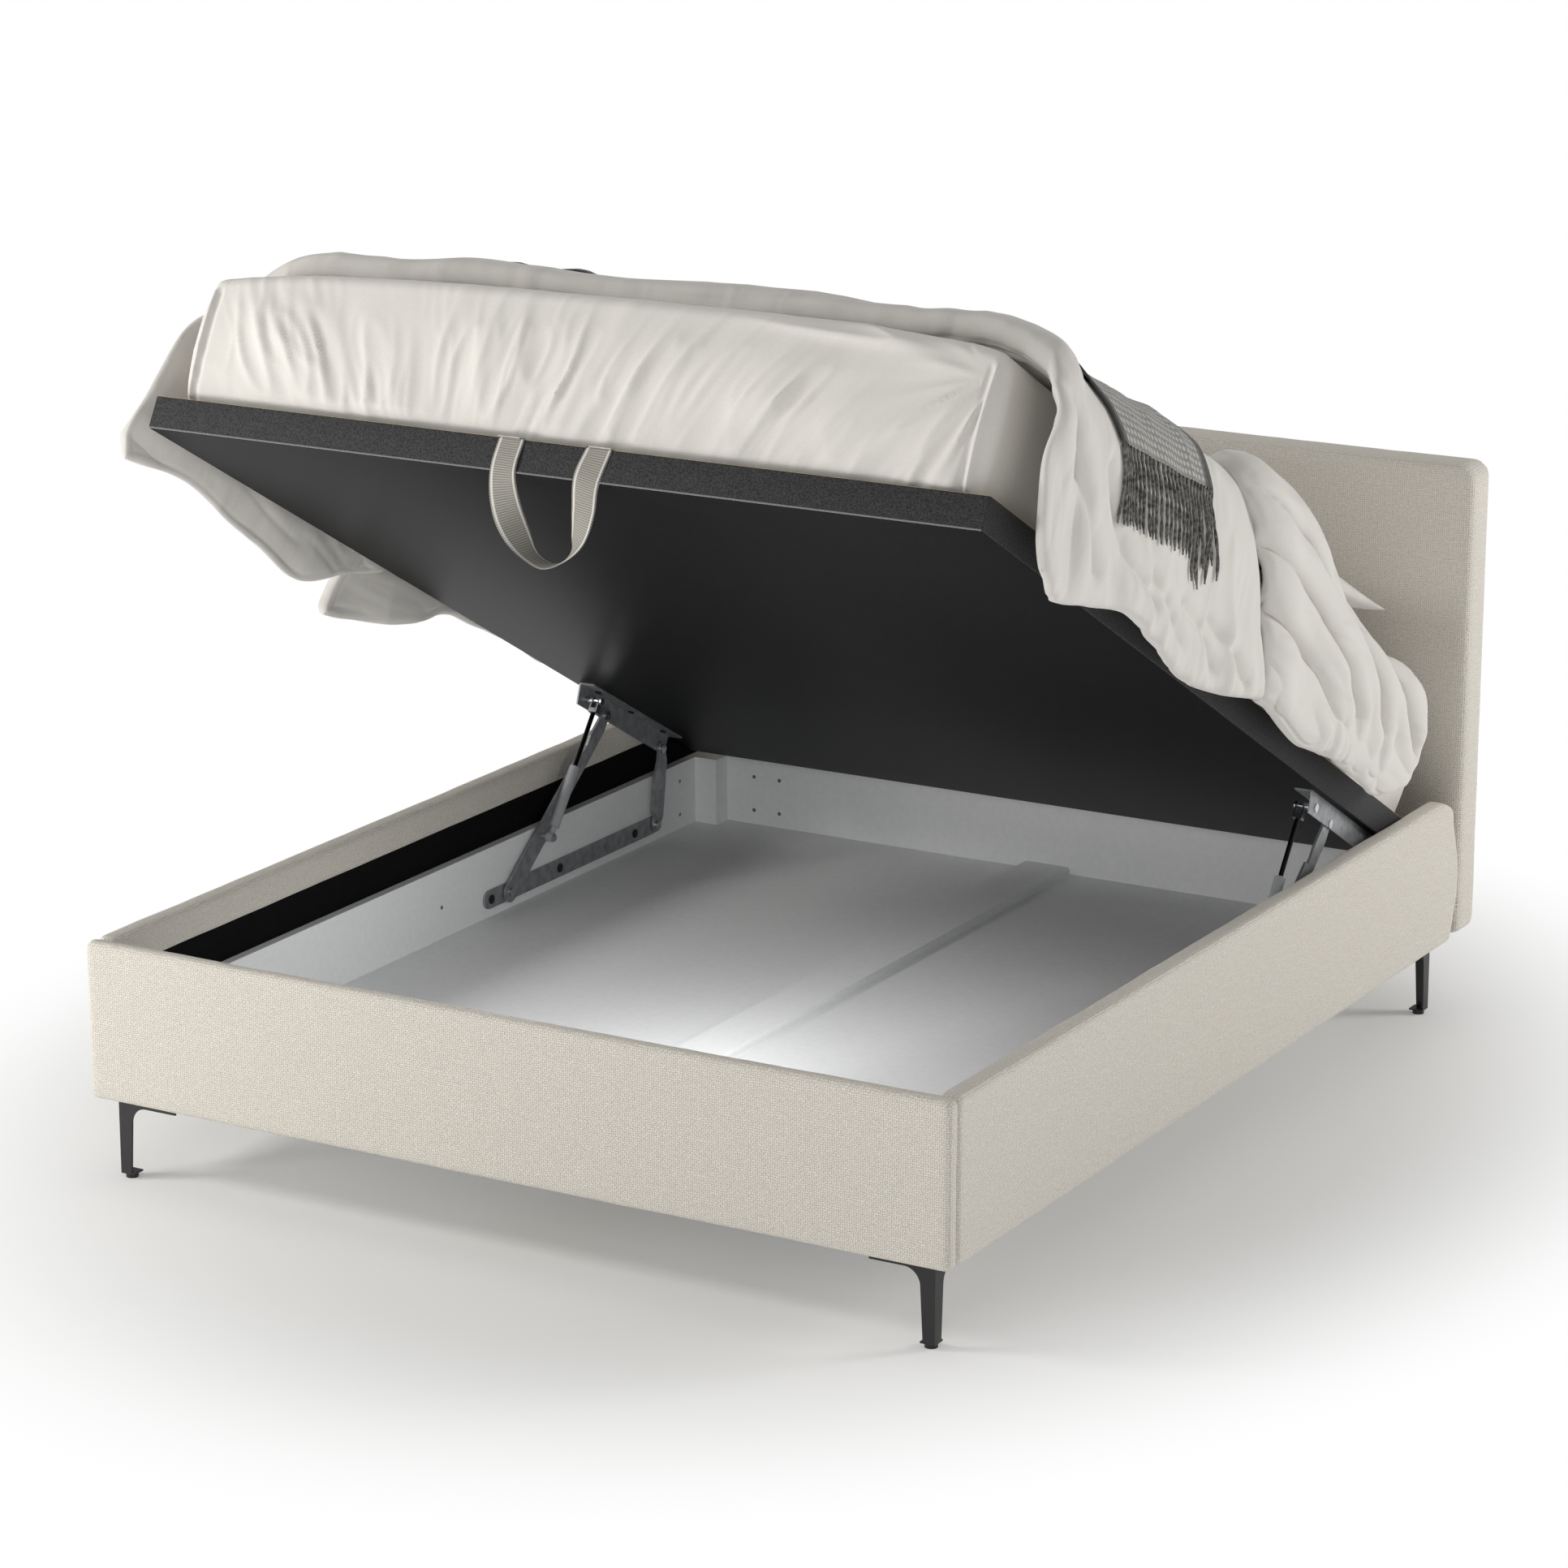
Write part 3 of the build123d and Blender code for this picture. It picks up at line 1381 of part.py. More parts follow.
def build_nodes():
    """Every sub-part under its own name."""
    nodes = {
        "foot_panel_cover": foot_panel_cover(),
        "foot_panel_board": foot_panel_board(),
        "headboard_cover": headboard_cover(),
        "headboard_board": headboard_board(),
        "foot_wall": foot_wall(),
        "head_wall": head_wall(),
        "floor_ledges": floor_ledges(),
        "centre_bearer": centre_bearer(),
        "centre_batten": centre_batten(),
        "box_screws": wall_screws(),
        "leg_glides": leg_glides(),
        "leg_screws": leg_screws(),
        "bar_screws": bar_screws(),
        "base_pivots": base_pivots(),
        "bracket_pivots": bracket_pivots(),
        "bracket_screws": bracket_screws(),
        "lid_cover": lid_cover(),
        "lid_base": lid_base(),
        "lid_frame": lid_frame(),
        "lid_deck": lid_deck(),
        "handle_strap": handle_strap(),
        "handle_tabs": handle_tabs(),
        "mattress": mattress(),
        "duvet": duvet(),
        "folded_duvet": folded_duvet(),
        "throw_blanket": throw_blanket(),
        "throw_fringe": throw_fringe(),
        "pillows": pillows(),
    }
    paired = {
        "rail_cover": rail_cover,
        "rail_board": rail_board,
        "side_wall": side_wall,
        "floor_panel": floor_panel,
        "base_bar": base_bar,
        "front_arm": front_arm,
        "rear_arm": rear_arm,
        "rear_arm_rivet": rear_arm_rivet,
        "lid_bracket": lid_bracket,
        "strut_cylinder": strut_cylinder,
        "strut_rod": strut_rod,
        "strut_clevis": strut_clevis,
    }
    for name, make in paired.items():
        piece = make()
        nodes["right_" + name] = piece
        nodes["left_" + name] = other_side(piece)
    nodes["frame_linings"] = group([rail_lining(), other_side(rail_lining()), foot_panel_lining()])
    nodes["headboard_posts"] = group([headboard_post(), other_side(headboard_post())])
    nodes["corner_blocks"] = group(
        piece
        for at_head in (False, True)
        for piece in (corner_block(at_head), other_side(corner_block(at_head)))
    )
    for end, at_head in (("front", False), ("back", True)):
        leg = corner_leg(at_head)
        nodes["right_" + end + "_leg"] = leg
        nodes["left_" + end + "_leg"] = other_side(leg)
    return nodes


def main():
    os.makedirs("parts", exist_ok=True)
    nodes = build_nodes()
    for name, shape in nodes.items():
        export_step(shape, "parts/" + name + ".step")
    print(len(nodes), "nodes")
    print("strut", round(strut_length, 1), "open,", round(strut_closed_length, 1), "closed")
    return nodes


if __name__ == "__main__":
    main()
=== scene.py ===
import json
import math

import bmesh
import bpy
import numpy as np
from mathutils import Matrix, Vector
from mathutils.bvhtree import BVHTree


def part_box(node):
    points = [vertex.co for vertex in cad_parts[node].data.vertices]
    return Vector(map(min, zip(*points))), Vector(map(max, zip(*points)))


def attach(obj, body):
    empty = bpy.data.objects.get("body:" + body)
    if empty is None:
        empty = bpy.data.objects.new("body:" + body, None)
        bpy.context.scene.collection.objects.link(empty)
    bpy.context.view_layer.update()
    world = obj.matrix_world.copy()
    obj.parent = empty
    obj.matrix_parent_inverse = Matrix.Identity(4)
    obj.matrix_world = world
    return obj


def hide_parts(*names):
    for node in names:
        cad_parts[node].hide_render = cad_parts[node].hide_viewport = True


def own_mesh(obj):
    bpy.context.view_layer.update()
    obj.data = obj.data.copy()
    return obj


# Looks of the ottoman storage bed: upholstered frame, charcoal lid held open, and the
# bedding on it. Metres, +Z up, the foot of the bed towards -Y. The lid's own directions
# are x across, l along it from its foot edge and n square to it from its underside.

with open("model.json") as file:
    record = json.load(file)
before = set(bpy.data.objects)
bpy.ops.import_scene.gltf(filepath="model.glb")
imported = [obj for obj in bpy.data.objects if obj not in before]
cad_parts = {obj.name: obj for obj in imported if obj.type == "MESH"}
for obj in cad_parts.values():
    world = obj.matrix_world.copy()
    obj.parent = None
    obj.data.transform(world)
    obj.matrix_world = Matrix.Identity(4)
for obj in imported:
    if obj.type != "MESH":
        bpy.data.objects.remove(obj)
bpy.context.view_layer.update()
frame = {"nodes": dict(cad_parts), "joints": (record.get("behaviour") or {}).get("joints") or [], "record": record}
nodes = frame["nodes"]

NOISE_CELLS = 128

# the lid and the mattress in the lid's own directions
LID_THICKNESS = 0.058
LID_LENGTH = 2.004
LID_HALF = 0.795
MATTRESS_HALF = 0.768
MATTRESS_FRONT = 0.010
MATTRESS_BACK = 1.978
MATTRESS_BOTTOM = 0.0583
MATTRESS_HEIGHT = 0.250
# the mattress's edge, where the bedding turns down, and the inside of its hanging parts
BEDDING_REST = 0.3086
HANG_CLEAR = 0.8435
# the side rails' inner face, and the height down to which their cloth is turned in
RAIL_INNER = 0.800
TURN_DOWN = 0.373
# the side rails with the lid closed, in the lid's own directions
RAIL_TOP = 0.121
RAIL_OUTSIDE = 0.8425
# the width to which the throw's check and pleats are drawn
THROW_WIDTH = 0.34


def joint_range(name):
    """How far a joint turns, in radians."""
    return next(math.radians(j["range_deg"][1]) for j in frame["joints"] if j["name"] == name)


lid_opening = joint_range("lid_tilt") - joint_range("lid_lift")
lid_low, lid_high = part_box("lid_cover")
SIN, COS = math.sin(lid_opening), math.cos(lid_opening)
lid_matrix = Matrix((
    (1, 0, 0, 0),
    (0, COS, SIN, lid_low.y),
    (0, -SIN, COS, lid_high.z - LID_THICKNESS * COS),
    (0, 0, 0, 1),
))


# ---- shapes in code


def value_noise(u, v, seed):
    """Smooth noise from 0 to 1 over whole-number cells, the same on each run."""
    cells = np.random.default_rng(seed).random((NOISE_CELLS, NOISE_CELLS))
    u, v = np.broadcast_arrays(np.asarray(u, float), np.asarray(v, float))
    iu, iv = np.floor(u).astype(int), np.floor(v).astype(int)
    fu, fv = u - iu, v - iv
    fu, fv = fu * fu * (3 - 2 * fu), fv * fv * (3 - 2 * fv)
    i0, i1 = iu % NOISE_CELLS, (iu + 1) % NOISE_CELLS
    j0, j1 = iv % NOISE_CELLS, (iv + 1) % NOISE_CELLS
    low = cells[i0, j0] * (1 - fu) + cells[i1, j0] * fu
    high = cells[i0, j1] * (1 - fu) + cells[i1, j1] * fu
    return low * (1 - fv) + high * fv


def creases(across, along, wide, long, seed, sharp=2.5):
    """Ridges from 0 to 1, wide apart across and long in their own direction."""
    wander = value_noise(across / (4 * wide), along / long, seed + 1)
    level = value_noise(across / wide + 1.6 * wander, along / long, seed)
    return (1 - np.abs(2 * level - 1)) ** sharp


def hermite(t, a, pull_a, b, pull_b):
    """The smooth way from a to b, with the pull at both ends."""
    t2, t3 = t * t, t * t * t
    return ((2 * t3 - 3 * t2 + 1) * a + (t3 - 2 * t2 + t) * pull_a
            + (3 * t2 - 2 * t3) * b + (t3 - t2) * pull_b)


def spline(keys, values, at):
    """Smooth values at places between the keys of a table."""
    keys, values, at = (np.asarray(a, float) for a in (keys, values, at))
    slope = np.gradient(values, keys, axis=0)
    i = np.clip(np.searchsorted(keys, at) - 1, 0, len(keys) - 2)
    span = keys[i + 1] - keys[i]
    t = (at - keys[i]) / span
    if values.ndim > 1:
        span, t = span[..., None], t[..., None]
    return hermite(t, values[i], span * slope[i], values[i + 1], span * slope[i + 1])


def smooth_step(value, low, high):
    t = np.clip((value - low) / (high - low), 0, 1)
    return t * t * (3 - 2 * t)


def bell(value, middle, reach):
    """1 at the middle and softly down to 0 beyond its reach."""
    return np.exp(-((value - middle) / reach) ** 2)


def dense_ends(count):
    """Places from 0 to 1, closer together at both ends."""
    t = np.linspace(0, 1, count)
    return 0.45 * t + 0.55 * (0.5 - 0.5 * np.cos(np.pi * t))


def rim_profile(distance, radius):
    """Rounded edge of a padded cloth: 0 at the rim, 1 from radius inwards."""
    t = np.clip(distance / radius, 0, 1)
    return np.sqrt(1 - (1 - t) ** 2)


def line_distance(a, b, line):
    """Distance of each (a, b) to a line through the given points."""
    best = np.full(np.shape(a), 1e9)
    for (a0, b0), (a1, b1) in zip(line, line[1:]):
        da, db = a1 - a0, b1 - b0
        t = np.clip(((a - a0) * da + (b - b0) * db) / (da * da + db * db), 0, 1)
        best = np.minimum(best, np.hypot(a - a0 - t * da, b - b0 - t * db))
    return best


def round_corner(a, b):
    """Places in a corner's unit square moved so that its outer corner is round."""
    return a * np.sqrt(1 - b * b / 2), b * np.sqrt(1 - a * a / 2)


def distances(points):
    """How far along a line of points each of them lies."""
    return np.concatenate([[0], np.cumsum(np.linalg.norm(np.diff(points, axis=0), axis=1))])


def taken(items, name, width=1, kind=float):
    """A value of each item of a mesh as an array, with a row for each item."""
    values = np.zeros(len(items) * width, kind)
    items.foreach_get(name, values)
    return values.reshape(-1, width) if width > 1 else values


def mesh_object(name, vertices, faces, uv=None):
    """An object in the lid's directions, at the origin with its place in its mesh."""
    mesh = bpy.data.meshes.new(name)
    mesh.from_pydata(np.asarray(vertices).tolist(), [], faces)
    if uv is not None:
        layer = mesh.uv_layers.new(name="cloth")
        index = taken(mesh.loops, "vertex_index", kind=int)
        layer.data.foreach_set("uv", np.asarray(uv, float)[index].ravel())
    mesh.transform(lid_matrix)
    mesh.polygons.foreach_set("use_smooth", np.ones(len(mesh.polygons), bool))
    piece = bpy.data.objects.new(name, mesh)
    bpy.context.scene.collection.objects.link(piece)
    return piece


def softened(grid, times):
    """The grid with each inner point drawn towards its neighbours."""
    grid = grid.copy()
    for _ in range(times):
        around = grid[:-2, 1:-1] + grid[2:, 1:-1] + grid[1:-1, :-2] + grid[1:-1, 2:]
        grid[1:-1, 1:-1] = 0.5 * grid[1:-1, 1:-1] + 0.125 * around
    return grid


def grid_normals(middle):
    normal = np.cross(np.gradient(middle, axis=1), np.gradient(middle, axis=0))
    return normal / np.maximum(np.linalg.norm(normal, axis=-1, keepdims=True), 1e-9)


def thin(places, half):
    """Half the thickness of a thin cloth on its grid, 0 at the rim, where its sides meet."""
    halves = np.zeros(places.shape[:2])
    halves[1:-1, 1:-1] = half
    return halves


def pouch(name, middle, half, uv=None):
    """Closed cloth on both sides of a grid of points; its two sides meet at the rim."""
    rows, cols = half.shape
    normal = grid_normals(softened(middle, 10)) * half[..., None]
    upper = np.arange(rows * cols).reshape(rows, cols)
    lower = upper.copy()
    inside = np.zeros((rows, cols), bool)
    inside[1:-1, 1:-1] = True
    lower[inside] = rows * cols + np.arange(inside.sum())
    places = np.concatenate([(middle + normal).reshape(-1, 3), (middle - normal)[inside]])
    faces = []
    for index, step in ((upper, 1), (lower, -1)):
        quads = np.stack([index[:-1, :-1], index[:-1, 1:], index[1:, 1:], index[1:, :-1]], -1)
        faces.append(quads.reshape(-1, 4)[:, ::step])
    if uv is not None:
        uv = np.concatenate([uv.reshape(-1, 2), uv[inside]])
    return mesh_object(name, places, np.concatenate(faces).tolist(), uv)


def box_grid(xs, ls, ns):
    """Closed quad grid over a box, with one vertex where its sides meet."""
    counts = (len(xs), len(ls), len(ns))
    number = np.full(counts, -1)
    shell = np.ones(counts, bool)
    shell[1:-1, 1:-1, 1:-1] = False
    number[shell] = np.arange(shell.sum())
    i, j, k = np.nonzero(shell)
    places = np.stack([xs[i], ls[j], ns[k]], -1)
    sides = [
        (number[:, :, 0], -1), (number[:, :, -1], 1),
        (number[:, 0, :], 1), (number[:, -1, :], -1),
        (number[0, :, :], -1), (number[-1, :, :], 1),
    ]
    faces = []
    for side, step in sides:
        quads = np.stack([side[:-1, :-1], side[1:, :-1], side[1:, 1:], side[:-1, 1:]], -1)
        faces.append(quads.reshape(-1, 4)[:, ::step])
    return places, np.concatenate(faces).tolist()


def box_uv(mesh):
    """A UV map in metres that looks straight at each face."""
    main = np.abs(taken(mesh.polygons, "normal", 3)).argmax(1)
    main = np.repeat(main, taken(mesh.polygons, "loop_total", kind=int))
    place = taken(mesh.vertices, "co", 3)[taken(mesh.loops, "vertex_index", kind=int)]
    u = np.where(main == 0, place[:, 1], place[:, 0])
    v = np.where(main == 2, place[:, 1], place[:, 2])
    layer = mesh.uv_layers.new(name="cloth")
    layer.data.foreach_set("uv", np.stack([u, v], -1).ravel())


def move_points(piece, move):
    """Moves a mesh's points: move takes their places and normals and gives new places."""
    mesh = piece.data
    places, normals = (taken(mesh.vertices, name, 3) for name in ("co", "normal"))
    mesh.vertices.foreach_set("co", move(places, normals).ravel())
    mesh.update()


def only_active(piece):
    bpy.ops.object.select_all(action="DESELECT")
    piece.select_set(True)
    bpy.context.view_layer.objects.active = piece


def apply_modifier(piece, kind, **settings):
    only_active(piece)
    modifier = piece.modifiers.new(kind.lower(), kind)
    for key, value in settings.items():
        setattr(modifier, key, value)
    bpy.ops.object.modifier_apply(modifier=modifier.name)


def block(name, low, high):
    """A box primitive with its place in its mesh, ready for edit mode."""
    bpy.ops.object.select_all(action="DESELECT")
    low, high = Vector(low), Vector(high)
    bpy.ops.mesh.primitive_cube_add(size=1, location=(low + high) / 2, scale=high - low)
    piece = bpy.context.object
    piece.name = piece.data.name = name
    bpy.ops.object.transform_apply(location=True, rotation=True, scale=True)
    return piece


def bevel_all(piece, width, segments):
    """Bevels every edge of a piece."""
    only_active(piece)
    bpy.ops.object.mode_set(mode="EDIT")
    bpy.ops.mesh.select_mode(type="EDGE")
    bpy.ops.mesh.select_all(action="SELECT")
    bpy.ops.mesh.bevel(offset=width, segments=segments)
    bpy.ops.object.mode_set(mode="OBJECT")


def hand_over(piece, body, slot, material, *replaced):
    piece.data.materials.clear()
    piece.data.materials.append(material)
    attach(piece, body)
    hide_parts(*replaced)


# ---- materials


def linear(code):
    """An sRGB hex colour as the linear values that a socket takes."""
    parts = [int(code[i:i + 2], 16) / 255 for i in (1, 3, 5)]
    return tuple(
        p / 12.92 if p <= 0.04045 else ((p + 0.055) / 1.055) ** 2.4 for p in parts) + (1.0,)


def add_node(tree, kind, settings, inputs):
    """Adds a shader node with its settings, and sets or links its inputs."""
    node = tree.nodes.new("ShaderNode" + kind)
    for key, value in settings.items():
        setattr(node, key, value)
    for key, value in inputs.items():
        if isinstance(value, bpy.types.NodeSocket):
            tree.links.new(value, node.inputs[key])
        else:
            node.inputs[key].default_value = value
    return node


INPUTS = {"metallic": "Metallic", "specular": "Specular IOR Level", "sheen": "Sheen Weight",
          "sheen_roughness": "Sheen Roughness"}


def start_material(name, colour, roughness, **more):
    material = bpy.data.materials.new(name)
    material.use_nodes = True
    tree = material.node_tree
    shader = tree.nodes["Principled BSDF"]
    shader.inputs["Base Color"].default_value = linear(colour)
    shader.inputs["Roughness"].default_value = roughness
    for key, value in more.items():
        shader.inputs[INPUTS[key]].default_value = value
    return material, tree, shader


def mottled(name, colour, other, spot, depth, roughness, span=0.0, streak=(1, 1, 1), **more):
    """A finish with spots of a second colour and a surface as uneven, in metres."""
    material, tree, shader = start_material(name, colour, roughness, **more)
    place = add_node(tree, "TexCoord", {}, {}).outputs["Object"]
    place = add_node(tree, "Mapping", {}, {"Vector": place, "Scale": streak}).outputs["Vector"]
    spots = add_node(tree, "TexNoise", {}, {
        "Vector": place, "Scale": 1 / spot, "Detail": 4.0}).outputs["Fac"]
    clear = add_node(tree, "MapRange", {}, {"Value": spots, "From Min": 0.35, "From Max": 0.65})
    both = add_node(tree, "Mix", {"data_type": "RGBA"}, {
        0: clear.outputs["Result"], 6: linear(colour), 7: linear(other)})
    tree.links.new(both.outputs[2], shader.inputs["Base Color"])
    if span:
        rough = add_node(tree, "MapRange", {}, {
            "Value": spots, "To Min": roughness - span, "To Max": roughness + span})
        tree.links.new(rough.outputs["Result"], shader.inputs["Roughness"])
    bump = add_node(tree, "Bump", {}, {"Height": spots, "Distance": depth, "Strength": 1.0})
    tree.links.new(bump.outputs["Normal"], shader.inputs["Normal"])
    return material


def woven(name, light, dark, thread, depth, mottle, roughness, **more):
    """A basket weave on the piece's own UV map in metres; thread is the width of a yarn."""
    material, tree, shader = start_material(name, light, roughness, **more)
    place = add_node(tree, "UVMap", {"uv_map": "cloth"}, {}).outputs["UV"]
    uneven = add_node(tree, "TexNoise", {}, {
        "Vector": place, "Scale": 1 / (5 * thread), "Detail": 2.0}).outputs["Color"]
    place = add_node(tree, "VectorMath", {"operation": "MULTIPLY_ADD"}, {
        0: uneven, 1: (1.6 * thread, 1.6 * thread, 0.0), 2: place}).outputs["Vector"]
    warp, weft = (
        add_node(tree, "TexWave", {"bands_direction": direction}, {
            "Vector": place, "Scale": math.pi / (10 * thread)}).outputs["Fac"]
        for direction in "XY")
    over = add_node(tree, "TexChecker", {}, {"Vector": place, "Scale": 1 / thread})
    yarn = add_node(tree, "Mix", {"data_type": "FLOAT"}, {
        0: over.outputs["Fac"], 2: warp, 3: weft})
    slub = add_node(tree, "TexNoise", {}, {
        "Vector": place, "Scale": 1 / (1.5 * thread), "Detail": 3.0})
    tone = add_node(tree, "Math", {"operation": "MULTIPLY_ADD"}, {
        0: slub.outputs["Fac"], 1: mottle, 2: yarn.outputs[0]})
    tone = add_node(tree, "MapRange", {}, {
        "Value": tone.outputs["Value"],
        "From Min": 0.3 * mottle, "From Max": 1 + 0.7 * mottle}).outputs["Result"]
    colour = add_node(tree, "Mix", {"data_type": "RGBA"}, {
        0: tone, 6: linear(dark), 7: linear(light)})
    tree.links.new(colour.outputs[2], shader.inputs["Base Color"])
    bump = add_node(tree, "Bump", {}, {"Height": tone, "Distance": depth, "Strength": 0.8})
    tree.links.new(bump.outputs["Normal"], shader.inputs["Normal"])
    return material


def washed_cotton(name, depth, streak):
    """The duvet's cover, greyer and softer than the sheet, with wide soft creases."""
    cover = mottled(name, "#D6D3CE", "#D2CEC8", 0.0025, 0.0002, 0.88, sheen=0.15, specular=0.2)
    tree = cover.node_tree
    normal = tree.nodes["Principled BSDF"].inputs["Normal"]
    place = add_node(tree, "TexCoord", {}, {}).outputs["Object"]
    place = add_node(tree, "Mapping", {}, {
        "Vector": place, "Rotation": (lid_opening, 0, 0)}).outputs["Vector"]
    place = add_node(tree, "Mapping", {}, {"Vector": place, "Scale": streak}).outputs["Vector"]
    slow = add_node(tree, "TexNoise", {}, {
        "Vector": place, "Scale": 1 / 0.080, "Detail": 1.6, "Roughness": 0.45,
        "Distortion": 0.3})
    bump = add_node(tree, "Bump", {}, {
        "Height": slow.outputs["Fac"], "Distance": depth, "Strength": 1.0,
        "Normal": normal.links[0].from_socket})
    tree.links.new(bump.outputs["Normal"], normal)
    return cover


# Chunky polyester-linen basket weave in pale beige. The real yarn is about 2.5 mm; it is
# drawn at 4 mm so that the weave shows as the fine grain that it is at this distance.
upholstery_weave = woven(
    "beige_basket_weave", "#ECE9E1", "#BBB2A5", 0.004, 0.0012, 0.9, 0.92,
    sheen=0.15, sheen_roughness=0.5, specular=0.2)
# Plain-woven cotton percale: matt and off-white with a faint unevenness of the yarn.
sheet_percale = mottled(
    "cotton_percale_sheet", "#E1DED8", "#DDD9D3", 0.0025, 0.0002, 0.85, sheen=0.1, specular=0.25)

# Washed cotton of the duvet, and the same where it is folded back and creased along the bed.
duvet_percale = washed_cotton("washed_cotton_duvet_cover", 0.017, (1.0, 1.0, 0.30))
folded_percale = washed_cotton("washed_cotton_folded_cover", 0.020, (1.0, 0.28, 1.0))
# Non-woven charcoal lining stretched over the lid: dark with a fine pale fleck.
charcoal_lining = mottled(
    "charcoal_needle_felt", "#262627", "#444445", 0.003, 0.0002, 0.7, specular=0.2)
# The same lining under the lid, smoother, and painted darker: its colour is the painted shade under the raised
# lid.
painted_shade_lining = mottled(
    "charcoal_under_lining", "#0C0C0D", "#151516", 0.003, 0.0002, 0.42, specular=0.04)
# Thin welted seam of the same cloth, coloured pale grey as a painted highlight along its crest.
charcoal_painted_highlight = mottled("charcoal_seam_welt", "#8A8A8A", "#6C6C6C", 0.003, 0.0003, 0.9)

slot_finishes = {
    # Melamine-faced chipboard, light grey with a barely visible print and soft gloss.
    "melamine": mottled(
        "grey_melamine_board", "#ECEDED", "#E8E9EA", 0.012, 0.00005, 0.5, 0.05, specular=0.4),
    # Raw chipboard edges and hidden boards.
    "chipboard": mottled("raw_chipboard", "#BFA27A", "#9C7F59", 0.003, 0.0004, 0.9),
    # Black non-woven lining tacked over the board's inner face.
    "black_lining": mottled(
        "black_lining_felt", "#0B0B0C", "#121213", 0.003, 0.0003, 0.95, specular=0.1),
    # Planed pine: pale with darker streaks along the length.
    "pine": mottled(
        "planed_pine", "#D9C9AE", "#C4AE8B", 0.010, 0.0002, 0.65, streak=(1, 0.08, 1)),
    # Birch plywood deck of the lid.
    "plywood": mottled(
        "birch_plywood", "#CDB68E", "#BDA479", 0.012, 0.0002, 0.6, streak=(0.12, 1, 1)),
    # Powder-coated steel: near black with a fine orange-peel surface.
    "black_steel": mottled(
        "black_powder_coated_steel", "#161718", "#1C1D1E", 0.0015, 0.00005, 0.42, 0.06,
        specular=0.5),
    # Black nylon foot glides, moulded and slightly glossy.
    "black_nylon": mottled("moulded_black_nylon", "#101010", "#161616", 0.002, 0.00003, 0.4),
    # Zinc-plated pressed steel: grey, satin, with cloudy plating.
    "zinc_steel": mottled(
        "zinc_plated_pressed_steel", "#A2A4A7", "#8B8D90", 0.018, 0.00003, 0.42, 0.08,
        metallic=0.6),
    # Zinc-plated screw heads.
    "zinc_screws": mottled(
        "zinc_plated_screws", "#8F9194", "#6E7073", 0.004, 0.00003, 0.35, metallic=1.0),
    # Turned bright steel of the pins and studs.
    "bright_steel": mottled(
        "turned_bright_steel", "#C9CBCD", "#B4B6B9", 0.003, 0.00002, 0.2, metallic=1.0),
    # Black phosphated screws.
    "black_screws": mottled(
        "black_phosphated_screws", "#1A1A1B", "#262627", 0.002, 0.00003, 0.45, metallic=0.6),
    # Painted strut cylinder in light grey enamel.
    "strut_grey": mottled(
        "light_grey_strut_enamel", "#A3A6A9", "#9A9DA0", 0.010, 0.00002, 0.32, 0.05),
    # Nitrided piston rod: black and polished.
    "strut_rod_black": mottled(
        "black_nitrided_rod", "#0E0E0F", "#161617", 0.004, 0.00001, 0.18, metallic=0.7),
    "charcoal_cloth": charcoal_lining,
}


def webbing_material():
    """Linen-coloured ribbed webbing with a plain border on each side."""
    material, tree, shader = start_material(
        "linen_webbing", "#D2CBBE", 0.9, sheen=0.1, specular=0.2)
    place = add_node(tree, "UVMap", {"uv_map": "cloth"}, {}).outputs["UV"]
    # u runs from -1 to 1 across the 50 mm strap, v along it in metres
    parts = add_node(tree, "SeparateXYZ", {}, {0: place})
    side = add_node(tree, "Math", {"operation": "ABSOLUTE"}, {0: parts.outputs["X"]})
    border = add_node(tree, "Math", {"operation": "COMPARE"}, {
        0: side.outputs[0], 1: 0.80, 2: 0.07})
    rib = add_node(tree, "TexWave", {"bands_direction": "Y"}, {
        "Vector": place, "Scale": math.pi / (10 * 0.004), "Distortion": 0.6})
    grain = add_node(tree, "TexNoise", {}, {"Vector": place, "Scale": 240.0, "Detail": 3.0})
    height = add_node(tree, "Math", {"operation": "MULTIPLY"}, {
        0: rib.outputs["Fac"], 1: grain.outputs["Fac"]})
    ribbed = add_node(tree, "Mix", {"data_type": "RGBA"}, {
        0: height.outputs[0], 6: linear("#837F77"), 7: linear("#DCD9D2")})
    bordered = add_node(tree, "Mix", {"data_type": "RGBA"}, {
        0: border.outputs[0], 6: ribbed.outputs[2], 7: linear("#DEDBD4")})
    tree.links.new(bordered.outputs[2], shader.inputs["Base Color"])
    bump = add_node(tree, "Bump", {}, {"Height": height.outputs[0], "Distance": 0.0006})
    tree.links.new(bump.outputs["Normal"], shader.inputs["Normal"])
    return material


